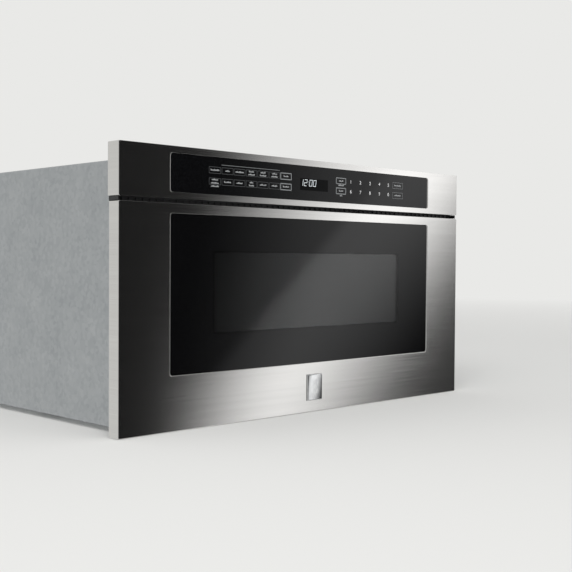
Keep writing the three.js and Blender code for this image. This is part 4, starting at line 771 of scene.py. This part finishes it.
# how far right of the clock's middle each digit and the colon stand, and how many degrees they lean
DIGIT_OFFSETS, COLON_OFFSET, CLOCK_LEAN = (-16.9, -8.2, 3.6, 12.4), -2.2, 9
# a numeral's height in the font that comes with Blender, as a share of the font's size
NUMERAL_SHARE = 0.7


def ink_plane(name, x, z, width, height):
    """A flat upright shape on the control glass, with its middle at x, z in millimetres."""
    glass_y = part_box("control_glass")[0].y
    centre = Vector((x * MM, glass_y - PRINT_LIFT, z * MM))
    size = (width * MM, height * MM, 1)
    return new_piece(name, bpy.ops.mesh.primitive_plane_add, centre, size, UPRIGHT, size=1)


def thicken(piece, finish):
    """Gives a flat print the thickness of its ink."""
    apply_modifier(piece, "SOLIDIFY", thickness=0.05 * MM, offset=1)
    face_outwards(piece)
    finish_piece(piece, finish, "chassis")


def softened(piece, cut):
    """Cuts the corners of a flat shape a little."""
    edit(piece)
    bpy.ops.mesh.select_all(action="SELECT")
    bpy.ops.mesh.bevel(offset=cut * MM, segments=2, affect="VERTICES")
    bpy.ops.object.mode_set(mode="OBJECT")
    return piece


def key_outline(width, height, line):
    """The outline of one key, with slightly rounded corners."""
    outline = softened(ink_plane("key_outline", 0, 0, width, height), 0.6)
    edit(outline)
    bpy.ops.mesh.select_all(action="SELECT")
    bpy.ops.mesh.inset(thickness=line * MM, depth=0)
    bpy.ops.mesh.delete(type="FACE")
    bpy.ops.object.mode_set(mode="OBJECT")
    return outline


def dashes(spots, name):
    """Rows of short strokes that stand for the keys' words. A spot is x, z and width."""
    pitch, stroke, line_height = 1.5, 0.85, 1.8
    heights = (2.6, 1.5, 1.9, 1.4, 2.2, 1.6, 1.5, 2.4, 1.7)
    places = []
    for number, (x, z, width) in enumerate(spots):
        count = round(width / pitch)
        for i in range(count):
            height = heights[(3 * number + 5 * i) % len(heights)]
            x_offset = x + (i - (count - 1) / 2) * pitch
            offset = (x_offset * MM, 0, (z + (height - line_height) / 2) * MM)
            places.append(Matrix.Translation(offset) @ Matrix.Diagonal((stroke, 1, height, 1)))
    return copies(softened(ink_plane("stroke", 0, 0, 1, 1), 0.2), places, name)


class DRAWER_OT_panel_print(bpy.types.Operator):
    """Print the keys, the numerals and the lit clock on the control glass"""

    bl_idname = "drawer.panel_print"
    bl_label = "Panel print"

    def execute(self, context):
        sizes = context.scene.drawer_print
        left = [(x, z) for x in KEY_COLUMNS[:-1] for z in KEY_ROWS]
        bold = [(KEY_COLUMNS[-1], z) for z in KEY_ROWS] + SIDE_KEYS
        # each group's key is given by its width, height and line
        for name, ink, key, middles in (
            ("key_outlines", "faint_ink", (22.4, 9.8, 0.7), left),
            ("plain_outlines", "grey_ink", (27.4, 10.6, 0.45), END_KEYS),
            ("bold_outlines", "grey_ink", (24.3, 10.8, sizes.line / MM), bold),
        ):
            places = [(x * MM, 0, z * MM) for x, z in middles]
            thicken(copies(key_outline(*key), places, name), ink)
        self.words()
        self.numerals(sizes)
        self.clock(sizes)
        return {"FINISHED"}

    def words(self):
        spots = []
        for row, words in zip(KEY_ROWS, (UPPER_WORDS, LOWER_WORDS)):
            for x, (width, split) in zip(KEY_COLUMNS, words):
                if split:
                    spots += [(x, row + split, width * 0.8), (x, row - split, width)]
                else:
                    spots.append((x, row, width))
        thicken(dashes(spots + OTHER_WORDS, "key_marks"), "pale_ink")
        thicken(softened(ink_plane("group_line", *GROUP_LINE), 0.15), "grey_ink")

    def numerals(self, sizes):
        made = []
        glass_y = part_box("control_glass")[0].y
        for row, digits in zip(KEY_ROWS, ("12345", "67890")):
            for x, digit in zip(NUMERAL_COLUMNS, digits):
                clear_selection()
                bpy.ops.object.text_add()
                text = bpy.context.object
                text.data.body = digit
                text.data.size = sizes.numeral_height / NUMERAL_SHARE
                # the ink spreads a little past the stroke
                text.data.offset = 0.16 * MM
                text.data.align_x = "CENTER"
                text.data.align_y = "CENTER"
                bpy.ops.object.convert(target="MESH")
                text = bpy.context.object
                text.rotation_euler = UPRIGHT
                text.location = (x * MM, glass_y - PRINT_LIFT, row * MM)
                bpy.ops.object.transform_apply(location=True, rotation=True, scale=True)
                made.append(text)
        thicken(join_all(made, "numerals"), "white_ink")

    def clock(self, sizes):
        left, right, middle_z, field_height = DISPLAY
        field = ink_plane("display_field", (left + right) / 2, middle_z, right - left, field_height)
        thicken(softened(field, 0.8), "display_filter")
        height = sizes.clock_height
        width, stroke, arm = 0.6 * height, 0.07 * height, height / 2
        on_end = Matrix.Rotation(math.radians(90), 4, "Y")
        bars = {
            "a": Matrix.Translation((0, 0, arm)),
            "b": Matrix.Translation((width / 2, 0, arm / 2)) @ on_end,
            "c": Matrix.Translation((width / 2, 0, -arm / 2)) @ on_end,
            "d": Matrix.Translation((0, 0, -arm)),
            "e": Matrix.Translation((-width / 2, 0, -arm / 2)) @ on_end,
            "f": Matrix.Translation((-width / 2, 0, arm / 2)) @ on_end,
            "g": Matrix.Identity(4),
        }
        shapes = {"1": "bc", "2": "abged", "0": "abcdef"}
        spots = []
        for offset, digit in zip(DIGIT_OFFSETS, "1200"):
            for mark in shapes[digit]:
                spots.append(Matrix.Translation((offset * MM, 0, 0)) @ bars[mark])
        # the colon's two dots
        dot = Matrix.Diagonal((stroke / width * 1.25, 1, 1, 1))
        spots += [Matrix.Translation((COLON_OFFSET * MM, 0, z * MM)) @ dot for z in (-2, 2)]
        lean = Matrix.Identity(4)
        lean[0][2] = math.tan(math.radians(CLOCK_LEAN))
        middle = Matrix.Translation((CLOCK_MIDDLE[0] * MM, -PRINT_LIFT, CLOCK_MIDDLE[1] * MM))
        segment = ink_plane("segment", 0, 0, width * 0.92 / MM, stroke / MM)
        model = softened(segment, stroke * 0.35 / MM)
        digits = copies(model, [middle @ lean @ spot for spot in spots], "clock_digits")
        thicken(digits, "lit_segments")


# ------------------------------------------------------------------ polished blank


class DRAWER_OT_blank(bpy.types.Operator):
    """Model the plain polished plate on the drawer front"""

    bl_idname = "drawer.blank"
    bl_label = "Polished blank"

    def execute(self, context):
        low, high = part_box("badge_blank")
        middle = (low + high) / 2
        size = high - low
        base, corner = 0.4 * size.y, 1.2 * MM
        cube = bpy.ops.mesh.primitive_cube_add
        plate = new_piece("polished_blank", cube, (0, 0, 0), (size.x, base, size.z), size=1)
        edit(plate)
        pick(plate, "FACE", lambda face: face.normal.y < -FACING)
        bpy.ops.mesh.inset(thickness=1.0 * MM, depth=0.35 * size.y)
        # a slight crown: each ring is a little flatter than the one outside it
        for depth in (0.085, 0.065, 0.05, 0.03, 0.02):
            bpy.ops.mesh.inset(thickness=2.3 * MM, depth=depth * size.y)
        inner_x, inner_z = size.x / 2 - corner, size.z / 2 - corner

        def at_corner(edge):
            return all(abs(v.co.x) > inner_x and abs(v.co.z) > inner_z for v in edge.verts)

        pick(plate, "EDGE", at_corner)
        bpy.ops.mesh.bevel(offset=0.5 * MM, segments=2, affect="EDGES")
        bpy.ops.object.mode_set(mode="OBJECT")
        # the back of the base comes to the back of the node
        plate.data.transform(Matrix.Translation((middle.x, middle.y + (size.y - base) / 2, middle.z)))
        smooth(plate, angle=40)
        finish_piece(plate, "polished_metal", "drawer", ("badge_blank",))
        return {"FINISHED"}


# ------------------------------------------------------------------ fasteners


def hex_screw(name, turn):
    """A hexagon washer-head sheet screw on the origin, its head towards +Z before the turn."""
    washer_radius, washer_depth = 4.6 * MM, 0.8 * MM
    # the head starts 0.3 mm down in its washer
    head_radius, head_depth, head_middle = 3.4 * MM, 1.8 * MM, 1.4 * MM
    cylinder = bpy.ops.mesh.primitive_cylinder_add
    centre = (0, 0, washer_depth / 2)
    washer = new_piece(name, cylinder, centre, vertices=20, radius=washer_radius, depth=washer_depth)
    edit(washer)
    pick(washer, "FACE", lambda face: face.normal.z > FACING)
    bpy.ops.mesh.bevel(offset=0.35 * MM, segments=2, affect="EDGES")
    bpy.ops.object.mode_set(mode="OBJECT")
    centre = (0, 0, head_middle)
    head = new_piece("head", cylinder, centre, vertices=6, radius=head_radius, depth=head_depth)
    edit(head)
    pick(head, "FACE", lambda face: face.normal.z > FACING)
    bpy.ops.mesh.bevel(offset=0.4 * MM, segments=2, affect="EDGES")
    pick(head, "FACE", lambda face: face.normal.z > FACING)
    bpy.ops.mesh.inset(thickness=0.5 * MM, depth=-0.35 * MM)
    bpy.ops.object.mode_set(mode="OBJECT")
    screw = join_all([washer, head], name)
    screw.data.transform(Euler(turn).to_matrix().to_4x4())
    smooth(screw, angle=35)
    return screw


class DRAWER_OT_fasteners(bpy.types.Operator):
    """Put the sheet screws on the cover and the back panel"""

    bl_idname = "drawer.fasteners"
    bl_label = "Fasteners"

    def execute(self, context):
        low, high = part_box("outer_wrap")
        row_inset = 12 * MM
        rows = (low.y + row_inset, high.y - row_inset)
        heights = [45 * MM, 186 * MM, 327 * MM]
        across = [-310 * MM, -110 * MM, 110 * MM, 310 * MM]
        quarter = math.radians(90)
        sides = {
            "screws_right": ((0, quarter, 0), [(high.x, y, z) for y in rows for z in heights]),
            "screws_left": ((0, -quarter, 0), [(low.x, y, z) for y in rows for z in heights]),
            "screws_top": ((0, 0, 0), [(x, y, high.z) for y in rows for x in across]),
            "screws_back": ((-quarter, 0, 0), self.back_places()),
        }
        for name, (turn, places) in sides.items():
            screws = copies(hex_screw("screw", turn), places, name)
            finish_piece(screws, "zinc_screw", "chassis")
        return {"FINISHED"}

    def back_places(self):
        low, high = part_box("back_panel")
        inset = 9 * MM
        left, right = low.x + inset, high.x - inset
        bottom, top = low.z + inset, high.z - inset
        places = [(x, high.y, z) for z in (bottom, top) for x in (left, left / 3, right / 3, right)]
        return places + [(x, high.y, (bottom + top) / 2) for x in (left, right)]


# ------------------------------------------------------------------ node finishes


class DRAWER_OT_node_finishes(bpy.types.Operator):
    """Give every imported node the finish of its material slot"""

    bl_idname = "drawer.node_finishes"
    bl_label = "Node finishes"

    def execute(self, context):
        FINISHES.update(make_finishes(context.scene.drawer_window))
        for part in frame["record"]["subparts"]:
            name = part["node"]
            # the window and its screen have finishes of their own
            coat(frame["nodes"][name], name if name in FINISHES else part["material_slot"])
        return {"FINISHED"}


# ------------------------------------------------------------------ stage


class StageSettings(bpy.types.PropertyGroup):
    paper: FloatVectorProperty(
        name="Paper",
        description="Colour of the floor and the background",
        default=linear("e9e9e7")[:3],
        subtype="COLOR",
        min=0,
        max=1,
    )
    sky: FloatProperty(name="Sky", description="Strength of the even light", default=0.75, min=0)
    key: FloatProperty(
        name="Key light", description="Power of the large soft lamp", default=22, min=0, unit="POWER"
    )


# the camera stands where the front's own edges put it; its turn is in degrees, its lens in mm
CAMERA_PLACE = (-1.157152, -1.433694, 0.234638)
CAMERA_TURN = (88.5291, -0.3439, -44.448)
LENS, SENSOR = 63.047, 36
LAMP_PLACE, LAMP_AIM, LAMP_SIZE = (-1.6, -1.8, 2.2), Vector((0, 0, 0.2)), (1.6, 1.2)
FLOOR_RADIUS = 12
# how far out the paper starts to fade, and where it has faded
PAPER_FADE = (1.5, 5.0)
# the reflector's cloth: its place and size, the middle of its dark part across and up, how much
# wider than high that part is, and how far out the pale room starts and has taken over
CLOTH_PLACE, CLOTH_SIZE = (2.5, -3.0, 0.0), (12, 16)
CLOTH_MIDDLE, CLOTH_STRETCH, CLOTH_EDGE = (3, 0.1), 1.3, (1.9, 3.5)
ROOM_LIGHT = 0.7
# the least and the most light on the cloth, and the heights between which the light band leans
BAND_LIGHT = (0.014, 1.76)
BAND_HEIGHTS = (-0.6, 1.1)
# the light band's three edges, of which the last falls off: where an edge is darkest and how far
# that leans to the right per metre up, where it is brightest and how far that leans, how much light
# is left where it is darkest, and how much more per metre up
BAND_EDGES = (
    (1.82, 0.21, 2.88, 0.42, 0.0, 0.0),
    (2.38, 1.23, 2.56, 1.23, 0.5, 0.25),
    (4.18, 1.0, 2.7, 1.2, 0.0, 0.0),
)


def floor_paper(paper):
    """Matt studio paper that fades into the background a few metres out."""
    material, tree, place = new_material("studio_paper")
    far = add(tree, "VectorMath", {0: place}, operation="LENGTH").outputs["Value"]
    edge = {"Value": far, "From Min": PAPER_FADE[0], "From Max": PAPER_FADE[1]}
    fade = add(tree, "MapRange", edge).outputs["Result"]
    matt = add(tree, "BsdfDiffuse", {"Color": (*paper, 1), "Roughness": 0.6}).outputs["BSDF"]
    glow = add(tree, "Emission", {"Color": (*paper, 1), "Strength": 1.0}).outputs["Emission"]
    mixed = add(tree, "MixShader", {0: fade, 1: matt, 2: glow})
    add(tree, "OutputMaterial", {"Surface": mixed.outputs["Shader"]})
    return material


def reflector_light():
    """What polished surfaces see in front of the drawer: a slanted band of light on a dark cloth.

    The light rises over a soft edge and falls off slowly again. Past the cloth the room is pale.
    """
    material, tree, place = new_material("reflector_light")
    axes = add(tree, "SeparateXYZ", {"Vector": place}).outputs
    span = {"Value": axes["Z"], "Min": BAND_HEIGHTS[0], "Max": BAND_HEIGHTS[1]}
    height = add(tree, "Clamp", span).outputs[0]
    level = None
    for start, start_lean, end, end_lean, least, gain in BAND_EDGES:
        low = add(tree, "Math", {0: height, 1: start_lean, 2: start}, operation="MULTIPLY_ADD").outputs[0]
        high = add(tree, "Math", {0: height, 1: end_lean, 2: end}, operation="MULTIPLY_ADD").outputs[0]
        rest = add(tree, "Math", {0: height, 1: gain, 2: least}, operation="MULTIPLY_ADD").outputs[0]
        ramp = {"Value": axes["X"], "From Min": low, "From Max": high, "To Min": rest}
        rise = add(tree, "MapRange", ramp, interpolation_type="SMOOTHSTEP").outputs["Result"]
        if level:
            rise = add(tree, "Math", {0: level, 1: rise}, operation="MULTIPLY").outputs[0]
        level = rise
    light = {"Value": level, "To Min": BAND_LIGHT[0], "To Max": BAND_LIGHT[1]}
    strength = add(tree, "MapRange", light).outputs["Result"]
    middle_x, middle_z = CLOTH_MIDDLE
    move = {
        "Vector": place,
        "Location": (-middle_x / CLOTH_STRETCH, 0, -middle_z),
        "Scale": (1 / CLOTH_STRETCH, 0, 1),
    }
    spot = add(tree, "Mapping", move).outputs["Vector"]
    away = add(tree, "VectorMath", {0: spot}, operation="LENGTH").outputs["Value"]
    edge = {"Value": away, "From Min": CLOTH_EDGE[0], "From Max": CLOTH_EDGE[1]}
    far = add(tree, "MapRange", edge, interpolation_type="SMOOTHSTEP").outputs["Result"]
    mixed = add(tree, "Mix", {0: far, 2: strength, 3: ROOM_LIGHT}).outputs[0]
    glow = add(tree, "Emission", {"Color": (1, 1, 1, 1), "Strength": mixed})
    add(tree, "OutputMaterial", {"Surface": glow.outputs["Emission"]})
    return material


class DRAWER_OT_stage(bpy.types.Operator):
    """Make the camera, the paper floor, the reflector, the lamp and the even light"""

    bl_idname = "drawer.stage"
    bl_label = "Stage"

    def execute(self, context):
        settings = context.scene.drawer_stage
        self.camera(context)
        self.floor(settings)
        self.reflector()
        self.lamp(settings)
        self.sky(context, settings)
        context.scene.view_settings.view_transform = "Standard"
        return {"FINISHED"}

    def camera(self, context):
        clear_selection()
        turn = Euler([math.radians(angle) for angle in CAMERA_TURN])
        bpy.ops.object.camera_add(location=CAMERA_PLACE, rotation=turn)
        camera = bpy.context.object
        camera.data.lens = LENS
        camera.data.sensor_width = SENSOR
        camera.data.clip_end = 100
        context.scene.camera = camera

    def floor(self, settings):
        # just under the drawer, so that their faces don't meet
        centre = (0, 0, CAD_BOX[0][2] - 0.5 * MM)
        circle = bpy.ops.mesh.primitive_circle_add
        floor = new_piece("floor", circle, centre, vertices=96, radius=FLOOR_RADIUS, fill_type="NGON")
        floor.data.materials.append(floor_paper(settings.paper))
        floor.visible_glossy = False
        floor.visible_transmission = False

    def reflector(self):
        plane = bpy.ops.mesh.primitive_plane_add
        cloth = new_piece("reflector", plane, CLOTH_PLACE, (*CLOTH_SIZE, 1), UPRIGHT, size=1)
        cloth.data.materials.append(reflector_light())
        cloth.visible_camera = False
        cloth.visible_diffuse = False
        cloth.visible_shadow = False

    def lamp(self, settings):
        clear_selection()
        bpy.ops.object.light_add(type="AREA", location=LAMP_PLACE)
        lamp = bpy.context.object
        lamp.data.shape = "RECTANGLE"
        lamp.data.size, lamp.data.size_y = LAMP_SIZE
        lamp.data.energy = settings.key
        lamp.rotation_euler = (LAMP_AIM - lamp.location).to_track_quat("-Z", "Y").to_euler()
        lamp.visible_glossy = False

    def sky(self, context, settings):
        world = bpy.data.worlds.new("studio_sky")
        context.scene.world = world
        world.use_nodes = True
        tree = world.node_tree
        tree.nodes.clear()
        rays = add(tree, "LightPath").outputs
        shown = rays["Is Camera Ray"]
        for other in ("Is Glossy Ray", "Is Transmission Ray"):
            shown = add(tree, "Math", {0: shown, 1: rays[other]}, operation="MAXIMUM").outputs[0]
        light = add(tree, "Background", {"Color": (1, 1, 1, 1), "Strength": settings.sky})
        paper = add(tree, "Background", {"Color": (*settings.paper, 1), "Strength": 1.0})
        mixed = add(tree, "MixShader", {0: shown, 1: light.outputs[0], 2: paper.outputs[0]})
        add(tree, "OutputWorld", {"Surface": mixed.outputs[0]})


# ------------------------------------------------------------------ panel and registration


class DRAWER_PT_pieces(bpy.types.Panel):
    bl_label = "Microwave drawer"
    bl_idname = "DRAWER_PT_pieces"
    bl_space_type = "VIEW_3D"
    bl_region_type = "UI"
    bl_category = "Drawer"

    def draw(self, context):
        layout = self.layout
        scene = context.scene
        for group in (scene.drawer_front, scene.drawer_window, scene.drawer_print, scene.drawer_stage):
            box = layout.box()
            for name in type(group).__annotations__:
                box.prop(group, name)
        for operator in OPERATORS:
            layout.operator(operator.bl_idname)


OPERATORS = (
    DRAWER_OT_node_finishes,
    DRAWER_OT_stage,
    DRAWER_OT_front_skins,
    DRAWER_OT_split_grille,
    DRAWER_OT_panel_print,
    DRAWER_OT_blank,
    DRAWER_OT_fasteners,
)
GROUPS = {
    "drawer_front": FrontSizes,
    "drawer_window": WindowSizes,
    "drawer_print": PrintSizes,
    "drawer_stage": StageSettings,
}
CLASSES = (*GROUPS.values(), *OPERATORS, DRAWER_PT_pieces)


def register():
    for cls in CLASSES:
        bpy.utils.register_class(cls)
    for name, group in GROUPS.items():
        setattr(bpy.types.Scene, name, PointerProperty(type=group))


def unregister():
    for name in GROUPS:
        delattr(bpy.types.Scene, name)
    for cls in reversed(CLASSES):
        bpy.utils.unregister_class(cls)


def main():
    register()
    bpy.ops.drawer.node_finishes()
    bpy.ops.drawer.stage()
    bpy.ops.drawer.front_skins()
    bpy.ops.drawer.split_grille()
    bpy.ops.drawer.panel_print()
    bpy.ops.drawer.blank()
    bpy.ops.drawer.fasteners()


if __name__ == "__main__":
    main()
